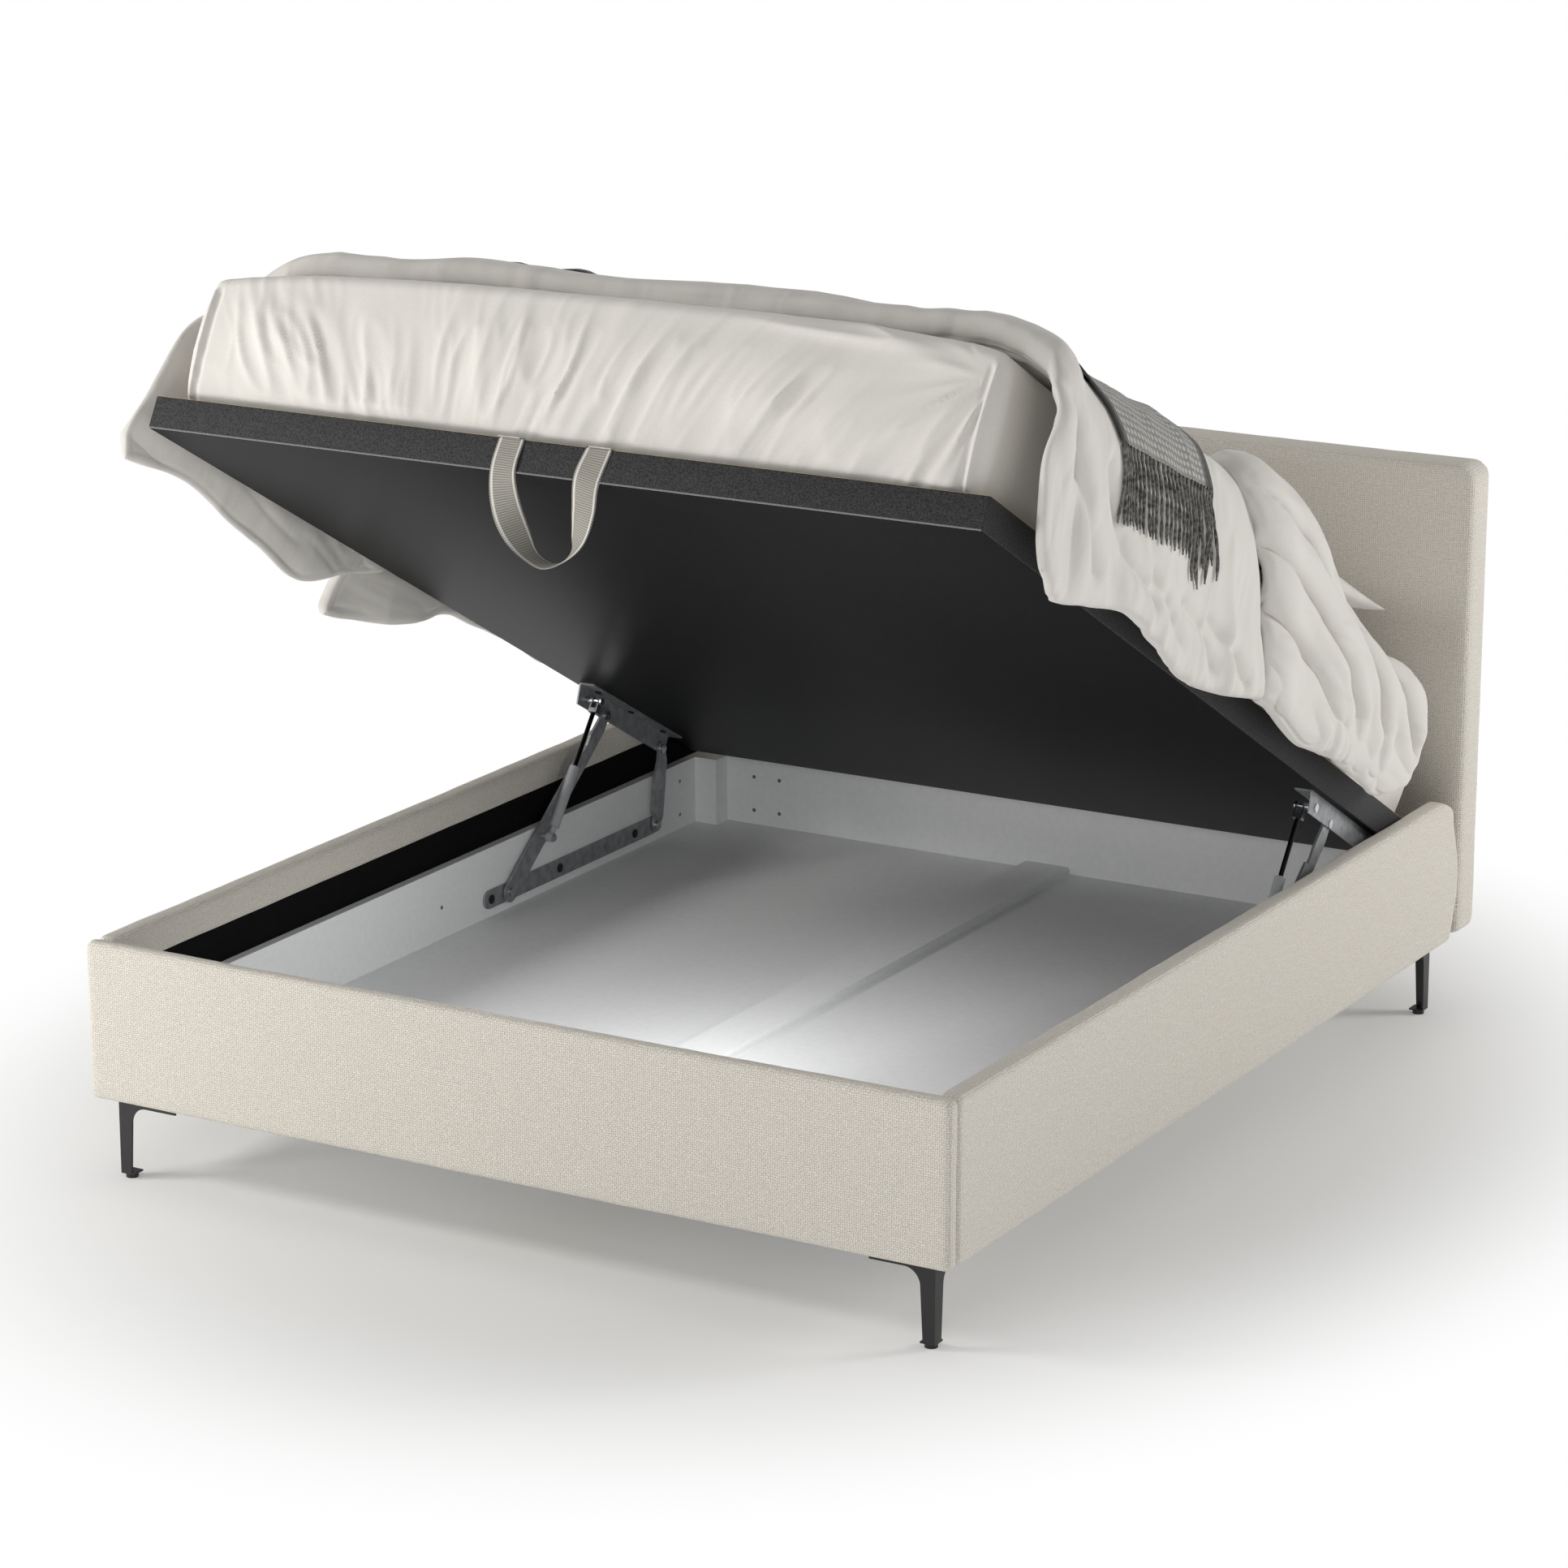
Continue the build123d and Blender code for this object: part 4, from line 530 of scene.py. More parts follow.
def throw_material():
    """Brushed wool in a soft grey check, with a darker band along each edge."""
    material, tree, shader = start_material(
        "brushed_wool_check", "#9C9B97", 0.95, sheen=0.25, sheen_roughness=0.4, specular=0.15)
    place = add_node(tree, "UVMap", {"uv_map": "cloth"}, {}).outputs["UV"]
    # u runs along the throw in metres, v from 0 to 1 across its width
    parts = add_node(tree, "SeparateXYZ", {}, {0: place})
    width = add_node(tree, "Math", {"operation": "MULTIPLY"}, {
        0: parts.outputs["Y"], 1: THROW_WIDTH})
    cloth = add_node(tree, "CombineXYZ", {}, {
        0: parts.outputs["X"], 1: width.outputs[0], 2: 0.0}).outputs["Vector"]
    hair = add_node(tree, "TexNoise", {}, {"Vector": cloth, "Scale": 260.0, "Detail": 4.0})
    cross, along = (
        add_node(tree, "TexWave", {"bands_direction": direction}, {
            "Vector": cloth, "Scale": math.pi / (10 * pitch), "Distortion": 1.2,
            "Detail": 1.0}).outputs["Fac"]
        for direction, pitch in (("X", 0.014), ("Y", 0.012)))
    lines = add_node(tree, "Math", {"operation": "MULTIPLY"}, {0: cross, 1: along})
    blur = add_node(tree, "Math", {"operation": "MULTIPLY_ADD"}, {
        0: hair.outputs["Fac"], 1: 0.9, 2: lines.outputs[0]}).outputs[0]
    tone = add_node(tree, "MapRange", {}, {"Value": blur, "From Min": 0.35, "From Max": 1.15})
    middle = add_node(tree, "Mix", {"data_type": "RGBA"}, {
        0: tone.outputs["Result"], 6: linear("#74736F"), 7: linear("#B5B4AF")})
    centre = add_node(tree, "Math", {"operation": "SUBTRACT"}, {0: parts.outputs["Y"], 1: 0.5})
    edge = add_node(tree, "Math", {"operation": "ABSOLUTE"}, {0: centre.outputs[0]})
    band = add_node(tree, "MapRange", {"interpolation_type": "SMOOTHSTEP"}, {
        "Value": edge.outputs[0], "From Min": 0.41, "From Max": 0.44})
    banded = add_node(tree, "Mix", {"data_type": "RGBA"}, {
        0: band.outputs["Result"], 6: middle.outputs[2], 7: linear("#4B4A48")})
    tree.links.new(banded.outputs[2], shader.inputs["Base Color"])
    bump = add_node(tree, "Bump", {}, {"Height": blur, "Distance": 0.0012, "Strength": 0.8})
    tree.links.new(bump.outputs["Normal"], shader.inputs["Normal"])
    return material


# Twisted wool yarn of the fringe, dark and pale plies together.
fringe_yarn = mottled(
    "twisted_wool_yarn", "#3A3937", "#7C7B77", 0.007, 0.0006, 0.95, sheen=0.2, specular=0.15)
linen_webbing = webbing_material()
wool_check = throw_material()


# ---- finishes of the CAD nodes

record_slots = [entry["slot"] for entry in frame["record"]["materials"]]
for node in nodes.values():
    for slot in node.material_slots:
        name = slot.material.name if slot.material else ""
        found = next((s for s in record_slots if name.startswith(s)), None)
        if found in slot_finishes:
            slot.material = slot_finishes[found]
nodes["corner_blocks"].material_slots[0].material = slot_finishes["melamine"]
nodes["handle_tabs"].material_slots[0].material = mottled(
    "linen_webbing_tabs", "#D2CBBE", "#B9B0A2", 0.004, 0.0006, 0.9)


# ---- upholstered frame


def upholstered(name, node, edge, voxel, shaping):
    """A foam-padded panel in woven cloth: rounded edges, slightly uneven faces."""
    low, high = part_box(node)
    piece = block(name, low, high)
    bevel_all(piece, edge, 4)
    apply_modifier(piece, "REMESH", mode="VOXEL", voxel_size=voxel)
    apply_modifier(piece, "SMOOTH", factor=0.5, iterations=3)

    def settle(co, normal):
        co = shaping(co, low, high)
        wave = value_noise(co[:, 0] * 7 + co[:, 1] * 9, co[:, 2] * 11 + co[:, 1] * 5, 5) - 0.5
        pull = value_noise(co[:, 0] * 26 + co[:, 1] * 24, co[:, 2] * 30, 6) - 0.5
        return co + normal * (0.0016 * wave + 0.0006 * pull)[:, None]

    move_points(piece, settle)
    box_uv(piece.data)
    piece.data.polygons.foreach_set("use_smooth", np.ones(len(piece.data.polygons), bool))
    hand_over(piece, "root", "upholstery", upholstery_weave, node)


def rail_shape(co, low, high):
    """A rail: its cloth ends on the inside under the top edge, and its head end bulges low
    down and is drawn back at the top with a round corner."""
    share = np.clip((co[:, 2] - low.z) / (high.z - low.z), 0, 1)
    setback = spline([0, 0.45, 0.83, 0.93, 1.0], [0.030, 0.0, 0.030, 0.040, 0.075], share)
    pull = smooth_step(co[:, 1], high.y - 0.16, high.y)
    co = co.copy()
    co[:, 1] -= setback * pull
    inner = (np.abs(co[:, 0]) < RAIL_INNER + 0.004) & (co[:, 2] < TURN_DOWN)
    co[inner, 0] = np.sign(co[inner, 0]) * (RAIL_INNER + 0.0045)
    return co


def foot_shape(co, low, high):
    """The foot panel: its cloth ends on the inside under the top edge."""
    co = co.copy()
    inner = (
        (co[:, 1] > high.y - 0.004) & (co[:, 2] < TURN_DOWN) & (np.abs(co[:, 0]) < RAIL_INNER))
    co[inner, 1] = high.y - 0.0045
    return co


def headboard_corners(co, low, high):
    """Round top corners of the headboard."""
    radius = 0.032
    co = co.copy()
    over_z = co[:, 2] - (high.z - radius)
    for side in (-1, 1):
        over_x = side * co[:, 0] - (high.x - radius)
        inside = (over_x > 0) & (over_z > 0)
        a, b = round_corner(over_x[inside] / radius, over_z[inside] / radius)
        co[inside, 0] = side * (high.x - radius + radius * a)
        co[inside, 2] = high.z - radius + radius * b
    return co


upholstered("foot_panel_upholstery", "foot_panel_cover", 0.010, 0.0065, foot_shape)
for side in ("left", "right"):
    upholstered(side + "_rail_upholstery", side + "_rail_cover", 0.011, 0.0065, rail_shape)
upholstered("headboard_upholstery", "headboard_cover", 0.018, 0.0085, headboard_corners)


# ---- lid


def lid_upholstery():
    """The lid's cloth: a stretched box with a soft edge, turned over onto the deck."""
    piece = block("lid_cloth", (-LID_HALF, 0, 0), (LID_HALF, LID_LENGTH, LID_THICKNESS + 0.0002))
    bevel_all(piece, 0.0035, 3)
    only_active(piece)
    bpy.ops.object.mode_set(mode="EDIT")
    bpy.ops.mesh.select_mode(type="FACE")
    bpy.ops.mesh.select_all(action="DESELECT")
    edit = bmesh.from_edit_mesh(piece.data)
    for face in edit.faces:
        face.select_set(face.normal.z > 0.99 and face.calc_area() > 1)
    bmesh.update_edit_mesh(piece.data)
    bpy.ops.mesh.inset(thickness=0.020, depth=0)
    bpy.ops.mesh.inset(thickness=0.0005, depth=-0.001)
    bpy.ops.object.mode_set(mode="OBJECT")
    piece.data.transform(lid_matrix)
    only_active(piece)
    bpy.ops.object.shade_smooth_by_angle(angle=math.radians(40))
    hand_over(piece, "lid", "charcoal_cloth", charcoal_lining, "lid_cover")
    # the faces that look down from the lid take the copy of the lining with painted shade
    piece.data.materials.append(painted_shade_lining)
    for face in piece.data.polygons:
        face.material_index = int(face.normal.dot(lid_matrix.col[2].xyz) < -0.9)


def lid_welt():
    """A thin sewn edge along the lid's lower front rim, a little proud of the cloth, with a painted highlight."""
    half = LID_HALF - 0.002
    piece = block("lid_edge_welt", (-half, -0.0006, 0.0004), (half, 0.0026, 0.0032))
    bevel_all(piece, 0.0011, 3)
    piece.data.transform(lid_matrix)
    piece.data.materials.append(charcoal_painted_highlight)
    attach(piece, "lid")


lid_upholstery()
lid_welt()

# The pull handle's loop, from the stations of the CAD strap: (x, l, n) of its middle in
# millimetres, and the direction of its width.
handle_middle = [
    (-80, -1.0, 59), (-81, -1.0, 0.1), (-76, 23.4, -46), (-56, 46, -87), (-26, 64, -119),
    (5, 70, -129), (36, 64, -117), (60, 46, -86), (72, 23.4, -46), (78, -1.0, 0.1),
    (87, -1.0, 59)]
handle_width = [
    (-1, 0, 0), (-1, 0, 0), (-0.9, -0.2, -0.4), (-0.5, -0.6, -0.6), (0, -0.9, -0.5),
    (0, -0.9, -0.5), (0.1, -0.8, -0.6), (0.8, -0.4, -0.5), (1, -0.1, -0.2), (1, 0.1, -0.2),
    (1, 0, 0)]
HANDLE_HALF_WIDTH = 0.025


def handle():
    """The pull handle's loop of webbing."""
    middle = np.array(handle_middle) / 1000
    keys = distances(middle)
    at = np.linspace(0, keys[-1], 130)
    line = spline(keys, middle, at)
    wide = spline(keys, np.array(handle_width), at)
    # the strap's width turns over at the bottom of the loop, so its sign changes once
    wide /= np.maximum(np.linalg.norm(wide, axis=1, keepdims=True), 1e-6)
    across = np.linspace(-1, 1, 11)
    places = line[:, None, :] + HANDLE_HALF_WIDTH * across[None, :, None] * wide[:, None, :]
    uv = np.stack(np.broadcast_arrays(across[None, :], at[:, None]), -1)
    piece = pouch("pull_handle_webbing", places, thin(places, 0.0006), uv)
    hand_over(piece, "lid", "webbing", linen_webbing, "handle_strap")
    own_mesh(piece)


handle()


# ---- mattress in its fitted sheet


def mattress_top(x):
    """Height of the sheet's top edge across the bed: crowned, and fuller on the right."""
    return spline(
        [-MATTRESS_HALF, -0.6, -0.403, -0.076, 0.2, 0.398, 0.6, 0.739, MATTRESS_HALF],
        [0.283, 0.306, 0.318, 0.324, 0.326, 0.324, 0.316, 0.300, 0.290], x)


def mattress():
    """The mattress in its fitted sheet, creased at the front and back, with corner seams."""
    seam = np.arange(0.722, 0.764, 0.0016)
    xs = np.unique(np.concatenate([np.linspace(-MATTRESS_HALF, MATTRESS_HALF, 320), seam, -seam]))
    length = MATTRESS_BACK - MATTRESS_FRONT
    half = length / 2
    near = np.linspace(0, 0.12, 16)
    ls = np.concatenate([near, np.linspace(0.12, length - 0.12, 46)[1:-1], length - near[::-1]])
    ns = dense_ends(52)
    co, faces = box_grid(xs, ls, ns)
    x, l, w = co[:, 0], co[:, 1] - half, co[:, 2]
    height = MATTRESS_HEIGHT
    # round the long edges, then the plan's corners
    e = np.minimum(MATTRESS_HALF - np.abs(x), half - np.abs(l))
    top_side = w > 0.5
    h = np.where(top_side, 1 - w, w) * height
    radius = np.where(top_side, 0.026, 0.018)
    # s runs over a long edge's band, from its side to its top or underside
    s = (radius - h + e) / (2 * radius)
    in_band = (s < 1) & (h < radius) & (e < radius)
    turn = np.clip(s, 0, 1) * math.pi / 2
    new_e = np.where(in_band, radius * (1 - np.cos(turn)), e)
    new_h = np.where(in_band, radius * (1 - np.sin(turn)), h)
    x = x * (MATTRESS_HALF - new_e) / np.maximum(MATTRESS_HALF - e, 1e-6)
    l = l * (half - new_e) / (half - e)
    w = np.where(top_side, 1 - new_h / height, new_h / height)
    corner = 0.030
    a = np.clip((np.abs(x) - (MATTRESS_HALF - corner)) / corner, 0, 1)
    b = np.clip((np.abs(l) - (half - corner)) / corner, 0, 1)
    new_a, new_b = np.where((a > 0) & (b > 0), round_corner(a, b), (a, b))
    x = np.sign(x) * (np.abs(x) + corner * (new_a - a))
    l = np.sign(l) * (np.abs(l) + corner * (new_b - b))
    # sides bow out at mid height
    bow = 0.010 * (1 - (2 * w - 1) ** 2) - 0.010
    out_x = np.sign(x) * smooth_step(np.abs(x), MATTRESS_HALF - 0.06, MATTRESS_HALF - 0.01)
    out_l = np.sign(l) * smooth_step(np.abs(l), half - 0.06, half - 0.01)
    # creases of the front and back: they lean one way on the left of the sheet and the other
    # way on the right, where they fan out from the corner seam
    lean = spline(
        [-0.8, -0.5, -0.25, -0.08, 0.15, 0.45, 0.8], [0.25, 0.55, 0.15, -0.25, -0.45, -0.8, -1.0],
        np.clip(x, -0.8, 0.8))
    p = x - lean * (0.5 - w) * height
    crease = 0.0070 * creases(p, w * height, 0.075, 0.30, 11, 2.0)
    crease += 0.0062 * creases(p + 0.4, w * height + 0.2, 0.036, 0.15, 23, 2.0)
    crease += 0.0028 * creases(p + 0.9, w * height + 0.5, 0.020, 0.09, 29, 2.0)
    crease *= 0.55 + 1.0 * smooth_step(value_noise(x * 5 + 9, w * 1.6, 31), 0.25, 0.75)
    crease *= 0.30 + 0.70 * smooth_step(w, 0.02, 0.12)
    crease *= 1 - 0.75 * smooth_step(w, 0.45, 0.95)
    seam_x, seam_w = 0.744, 0.90
    away = np.hypot(x - seam_x, (w - seam_w) * height)
    turn = np.arctan2((w - seam_w) * height + 0.03, seam_x - x)
    fan = creases(turn * 0.20, away, 0.028, 0.40, 47, 1.8)
    fan *= smooth_step(away, 0.02, 0.11) * (1 - smooth_step(away, 0.24, 0.52))
    crease = crease * smooth_step(away, 0.10, 0.42) + 0.011 * fan
    crease *= 1 - 0.85 * smooth_step(x, seam_x - 0.03, seam_x)
    l = l + out_l * (bow + crease * np.abs(out_l))
    side = 0.0035 * creases(l, w * height, 0.05, 0.3, 61) * (1 - np.abs(out_l))
    x = x + out_x * (bow + side)
    # welt of the fitted sheet's corner seam, on both front corners
    for sign in (-1, 1):
        d = np.abs(x - sign * (0.741 + 0.004 * w))
        at_front = l < -half + 0.06
        welt = bell(d, 0, 0.0042) * at_front * smooth_step(w, 0.0, 0.05)
        l = l - 0.0055 * welt * (1 - smooth_step(w, 0.86, 0.91))
        groove = bell(d, 0.011, 0.005) * at_front * (1 - smooth_step(w, 0.84, 0.90))
        l = l + 0.0030 * groove
    top = mattress_top(np.clip(x, -MATTRESS_HALF, MATTRESS_HALF))
    n = MATTRESS_BOTTOM + w * (top - MATTRESS_BOTTOM)
    on_top = (w > 0.97) * smooth_step(e, 0.0, 0.05)
    n -= on_top * 0.004 * creases(co[:, 0], co[:, 1], 0.14, 0.5, 71, 1.5)
    l = l + MATTRESS_FRONT + half
    piece = mesh_object("mattress_in_sheet", np.stack([x, l, n], -1), faces)
    hand_over(piece, "lid", "sheet_cotton", sheet_percale, "mattress")


mattress()


# ---- duvet, in two parts

# Cross sections of the duvet parts, in millimetres of the lid's directions: l, height of the
# top, height over the mattress's edge, right hem, left hem, how far the hanging part stands out.
duvet_table = np.array([
    (110, 361, 303, -23.2, -45, 9), (165.5, 363, 305, -46.4, -38, 0),
    (295, 364, 308, -26.1, -28, 3.6), (430, 372, 318, 2.9, -46, 1.8),
    (572.5, 390, 334, -8.7, -62, 3.6), (720.5, 399, 342, -26.1, -80, 0.9),
    (868.5, 401, 346, -8.7, -25, 8.1), (1035, 396, 342, 29, 30, 2.7)]) / 1000
folded_table = np.array([
    (1043, 428, 372, 26.1, -110, 1.8), (1110.7, 440, 398, 26.1, -95, 9),
    (1297.1, 438, 400, 11.6, -40, 0.9), (1364.8, 430, 380, 17.4, 0, 4.5),
    (1483.4, 411, 330, 29, 15, 4.1), (1602, 388, 292, 29, 23.2, 0),
    (1762.9, 368, 262, 29, 29, 0), (1880, 348, 240, 80, 92.8, 0)]) / 1000
# both parts' grids: rows along the lid, columns from the left hem to the right one
ROWS, COLUMNS = 170, 240
# each section has 15 numbered points, from the left hem over the middle to the right hem
POINTS = np.arange(15)
MIDDLE = 7


def section(top, shoulder, hem, fold, thick, side_thick):
    """Middle line of half a duvet section from its middle to its hem, as (x, n)."""
    drop = top - BEDDING_REST
    wide = HANG_CLEAR + side_thick / 2
    low_side = LID_THICKNESS + 0.07
    bend = hem + 0.35 * (low_side - hem)
    return [
        (0.0, top - thick / 2),
        (0.507, top - thick / 2),
        (0.700, top - 0.12 * drop - thick / 2),
        (0.806, shoulder - 0.4 * thick),
        (wide + 0.5 * fold, BEDDING_REST - 0.07),
        (wide + fold, low_side),
        (wide + fold, bend),
        (wide + 0.6 * fold, hem),
    ]


def widened(places):
    """Each place averaged with the four on each side."""
    return np.convolve(np.pad(places, 4, "edge"), np.ones(9) / 9, "valid")


def duvet_surface(table, front_edge, back_edge, thick, side_thick):
    """A part's grid of middle points, how far in from its front edge each one lies, and how
    much of it hangs; the edges give l at the numbered points, in millimetres."""
    q = dense_ends(ROWS)
    nominal = table[0, 0] + q * (table[-1, 0] - table[0, 0])
    values = spline(table[:, 0], table[:, 1:], nominal)
    third = COLUMNS // 3
    at = np.concatenate([
        np.linspace(0, 5, third, endpoint=False),
        np.linspace(5, 9, COLUMNS - 2 * third, endpoint=False),
        np.linspace(9, 14, third)])
    grid = np.zeros((ROWS, len(at), 3))
    for row, (top, shoulder, right, left, fold) in enumerate(values):
        right_line = section(top, shoulder, right, fold, thick[row], side_thick)
        snug = 0.024 * (1 - smooth_step(nominal[row], 0.3, 0.9))
        left_line = section(top, shoulder - snug, left, fold, thick[row], side_thick)
        points = np.array([(-x, n) for x, n in left_line[::-1]] + right_line[1:])
        chord = distances(points)
        grid[row, :, 0::2] = spline(chord, points, np.interp(at, POINTS, chord))
    start, end = (
        widened(np.interp(at, POINTS, np.array(edge) / 1000)) for edge in (front_edge, back_edge))
    grid[:, :, 1] = start + q[:, None] * (end - start)
    inward = q[:, None] * (grid[-1:, :, 1] - grid[:1, :, 1])
    hang = smooth_step(np.abs(at - MIDDLE), 2.5, 4.2)[None, :]
    return grid, inward, hang


def rim_distance(grid):
    """Each grid point's distance to the nearest rim, along the cloth."""
    step = np.linalg.norm(np.diff(grid, axis=0), axis=-1)
    down = np.concatenate([np.zeros((1, grid.shape[1])), np.cumsum(step, axis=0)])
    step = np.linalg.norm(np.diff(grid, axis=1), axis=-1)
    side = np.concatenate([np.zeros((grid.shape[0], 1)), np.cumsum(step, axis=1)], axis=1)
    return np.minimum.reduce([down, down[-1] - down, side, side[:, -1:] - side])


# valleys of the hanging cloth on the bed's right side, as points (l, n) down each valley
DUVET_VALLEYS = [
    [(0.066, 0.199), (0.174, 0.123), (0.262, 0.028)],
    [(0.222, 0.191), (0.345, 0.075), (0.494, 0.048)],
    [(0.458, 0.085), (0.539, 0.062), (0.63, 0.026)],
    [(0.601, 0.082), (0.704, 0.065), (0.774, 0.021)],
    [(0.719, 0.086), (0.834, 0.061), (0.915, 0.036)],
]
FOLDED_VALLEYS = [
    [(0.595, 0.306), (0.818, 0.271), (1.083, 0.233), (1.27, 0.187), (1.394, 0.12),
     (1.415, 0.039)],
    [(0.807, 0.334), (1.06, 0.316), (1.285, 0.261), (1.424, 0.199), (1.533, 0.125),
     (1.532, 0.06)],
    [(0.817, 0.204), (0.975, 0.165), (1.177, 0.136), (1.306, 0.083), (1.33, 0.012)],
    [(1.189, 0.311), (1.386, 0.257), (1.548, 0.212), (1.679, 0.143)],
]


def valleys(l, n, lines, wide, deep, puff):
    """Narrow valleys along the lines with a soft swell on both sides."""
    gap = np.minimum.reduce([line_distance(l, n, line) for line in lines])
    return puff * bell(gap, 2.2 * wide, 1.6 * wide) - deep * bell(gap, 0, wide)


def clear_of_rails(grid, half):
    """Keeps the hanging parts outside the side rails when the lid is closed."""
    x = grid[..., 0]
    low = 1 - smooth_step(grid[..., 2], RAIL_TOP + 0.005, RAIL_TOP + 0.040)
    low *= np.abs(x) > 0.78
    grid[..., 0] = x + np.sign(x) * low * np.maximum(RAIL_OUTSIDE + half - np.abs(x), 0)


def padded_cover(name, grid, push, half, rim, material, node):
    """A filled cover: its grid pushed outwards, half thick at most and round along its rim."""
    grid = softened(grid + grid_normals(grid) * push[..., None], 2)
    half = half * rim_profile(rim_distance(grid), rim)
    clear_of_rails(grid, half)
    piece = pouch(name, grid, half)
    hand_over(piece, "lid", "duvet_cotton", material, node)
    return piece


def duvet():
    """The flat part of the duvet, from its front edge to where it is folded back."""
    thick = 0.036 + 0.030 * smooth_step(np.linspace(0, 1, ROWS), 0.2, 0.6)
    # where the part starts and ends along the lid, at the numbered points of its sections
    grid, inward, hang = duvet_surface(
        duvet_table,
        [52, 40, 75, 140, 168, 146, 112, 98, 96, 88, 52, 8, 20, 62, 108],
        [925, 930, 940, 960, 985, 1020, 1030, 1030, 1030, 965, 832, 866, 940, 978, 990],
        thick, 0.016)
    x, l, n = grid[..., 0], grid[..., 1], grid[..., 2]
    low = smooth_step(-n, -0.24, 0.03)
    # on the right the folds hang straight down in the world, on the left they run along the hem
    across = np.where(x < 0, n * 1.1 + 0.30 * l, l * COS + n * SIN)
    along = np.where(x < 0, l, l * SIN - n * COS)
    folds = 0.35 + 0.65 * smooth_step(l, 0.30, 0.42)
    push = hang * (0.25 + 0.9 * low) * (
        0.026 * (value_noise(across / 0.13, along / 0.7, 101) - 0.45)
        + 0.015 * folds * creases(across, along, 0.062, 0.6, 103, 1.8)
        + 0.005 * folds * creases(across, along, 0.034, 0.4, 105, 2.5))
    push += (1 - hang) * (
        0.010 * (value_noise(x / 0.16, l / 0.16, 107) - 0.5)
        + 0.004 * creases(x + 0.5 * l, l, 0.05, 0.22, 109, 2.0))
    # a full roll along the front edge
    roll = bell(inward, 0.045, 0.040)
    push += roll * (0.014 * (1 - hang) + 0.003 * hang)
    push = np.maximum(push, -0.005)
    # the deep valley behind the roll, and the smaller ones further back, on the right
    right = smooth_step(x, 0.72, 0.84)
    gap = line_distance(
        l, n, [(0.024, 0.266), (0.121, 0.163), (0.149, 0.118), (0.177, -0.008), (0.185, -0.08)])
    below = smooth_step(-n, -0.27, -0.20)
    push += right * below * (0.009 * bell(gap, 0.040, 0.024) - 0.015 * bell(gap, 0, 0.012))
    push += right * valleys(l, n, DUVET_VALLEYS, 0.012, 0.009, 0.004)
    # two lifts of the roll over the sheet's edge
    push += roll * (0.010 * bell(x, -0.31, 0.10) + 0.011 * bell(x, 0.17, 0.16))
    # the cover is folded double on the right of the front edge
    double = inward - 0.004 - 0.055 * smooth_step(x, 0.05, 0.75)
    push -= (0.007 * bell(double, 0, 0.006) * smooth_step(x, 0.0, 0.15)
             * (1 - smooth_step(x, 0.78, 0.85)))
    push *= 0.4 + 0.6 * smooth_step(rim_distance(grid), 0.0, 0.012)
    half = 0.5 * (thick[:, None] * (1 - hang) + 0.018 * hang
                  + roll * (0.020 * (1 - hang) + 0.008 * hang))
    piece = padded_cover("duvet_over_bed", grid, push, half, 0.026, duvet_percale, "duvet")
    return piece


def folded_duvet():
    """The part of the duvet that is folded back in front of the pillows."""
    grid, inward, hang = duvet_surface(
        folded_table,
        [745, 762, 805, 862, 935, 1010, 1030, 1030, 1020, 925, 790, 874, 948, 986, 1000],
        [1640, 1720, 1780, 1800, 1820, 1840, 1850, 1850, 1845, 1790, 1630, 1650, 1722, 1740,
         1715],
        np.full(ROWS, 0.100), 0.030)
    x, l, n = grid[..., 0], grid[..., 1], grid[..., 2]
    # long folds that run down and back from the front of the folded part
    slope = l * 0.20 + n * 0.98
    track = l * 0.98 - n * 0.20
    push = hang * (
        0.018 + 0.034 * (value_noise(slope / 0.10, track / 0.6, 201) - 0.5)
        - 0.030 * creases(slope, track, 0.100, 0.60, 203, 3.5)
        - 0.010 * creases(slope, track, 0.050, 0.40, 205, 3.0))
    push += (1 - hang) * (
        0.016 * (value_noise(x / 0.18, l / 0.18, 207) - 0.5)
        + 0.006 * creases(x - 0.4 * l, l, 0.07, 0.3, 209, 2.0))
    # a star-shaped dimple low on the right
    right = smooth_step(x, 0.80, 0.84)
    dimple = np.hypot(l - 1.16, n - 0.10)
    star = np.arctan2(n - 0.10, l - 1.16)
    push += right * (-0.012 * bell(dimple, 0, 0.022)
                     - 0.006 * bell(dimple, 0.035, 0.03) * np.maximum(np.cos(3 * star), 0))
    push += 0.010 * bell(inward, 0.06, 0.05)
    push = np.maximum(push, -0.012)
    push += right * valleys(l, n, FOLDED_VALLEYS, 0.012, 0.020, 0.008)
    push *= 0.4 + 0.6 * smooth_step(rim_distance(grid), 0.0, 0.014)
    half = 0.5 * (0.098 * (1 - hang) + 0.034 * hang)
    piece = padded_cover(
        "duvet_folded_back", grid, push, half, 0.048, folded_percale, "folded_duvet")


duvet_piece = duvet()
folded_duvet()


# ---- throw and its fringe


# search tree of the duvet in the lid's own directions
back = lid_matrix.inverted()
duvet_tree = BVHTree.FromPolygons(
    [back @ vertex.co for vertex in duvet_piece.data.vertices],
    [tuple(face.vertices) for face in duvet_piece.data.polygons])
THROW_GAP = 0.003
THROW_ROWS = 56


def line_at(line, key):
    """Point of a section at a place between its numbered points."""
    index = min(int(key), len(line) - 2)
    t = key - index
    before, after = line[max(index - 1, 0)], line[min(index + 2, len(line) - 1)]
    a, b = line[index], line[index + 1]
    pull_a, pull_b = (b - before) / 2, (after - a) / 2
    # neither pull is longer than one and a half times the step
    for pull in (pull_a, pull_b):
        pull *= min(1.0, 1.5 * np.linalg.norm(b - a) / max(np.linalg.norm(pull), 1e-6))
    return hermite(t, a, pull_a, b, pull_b)


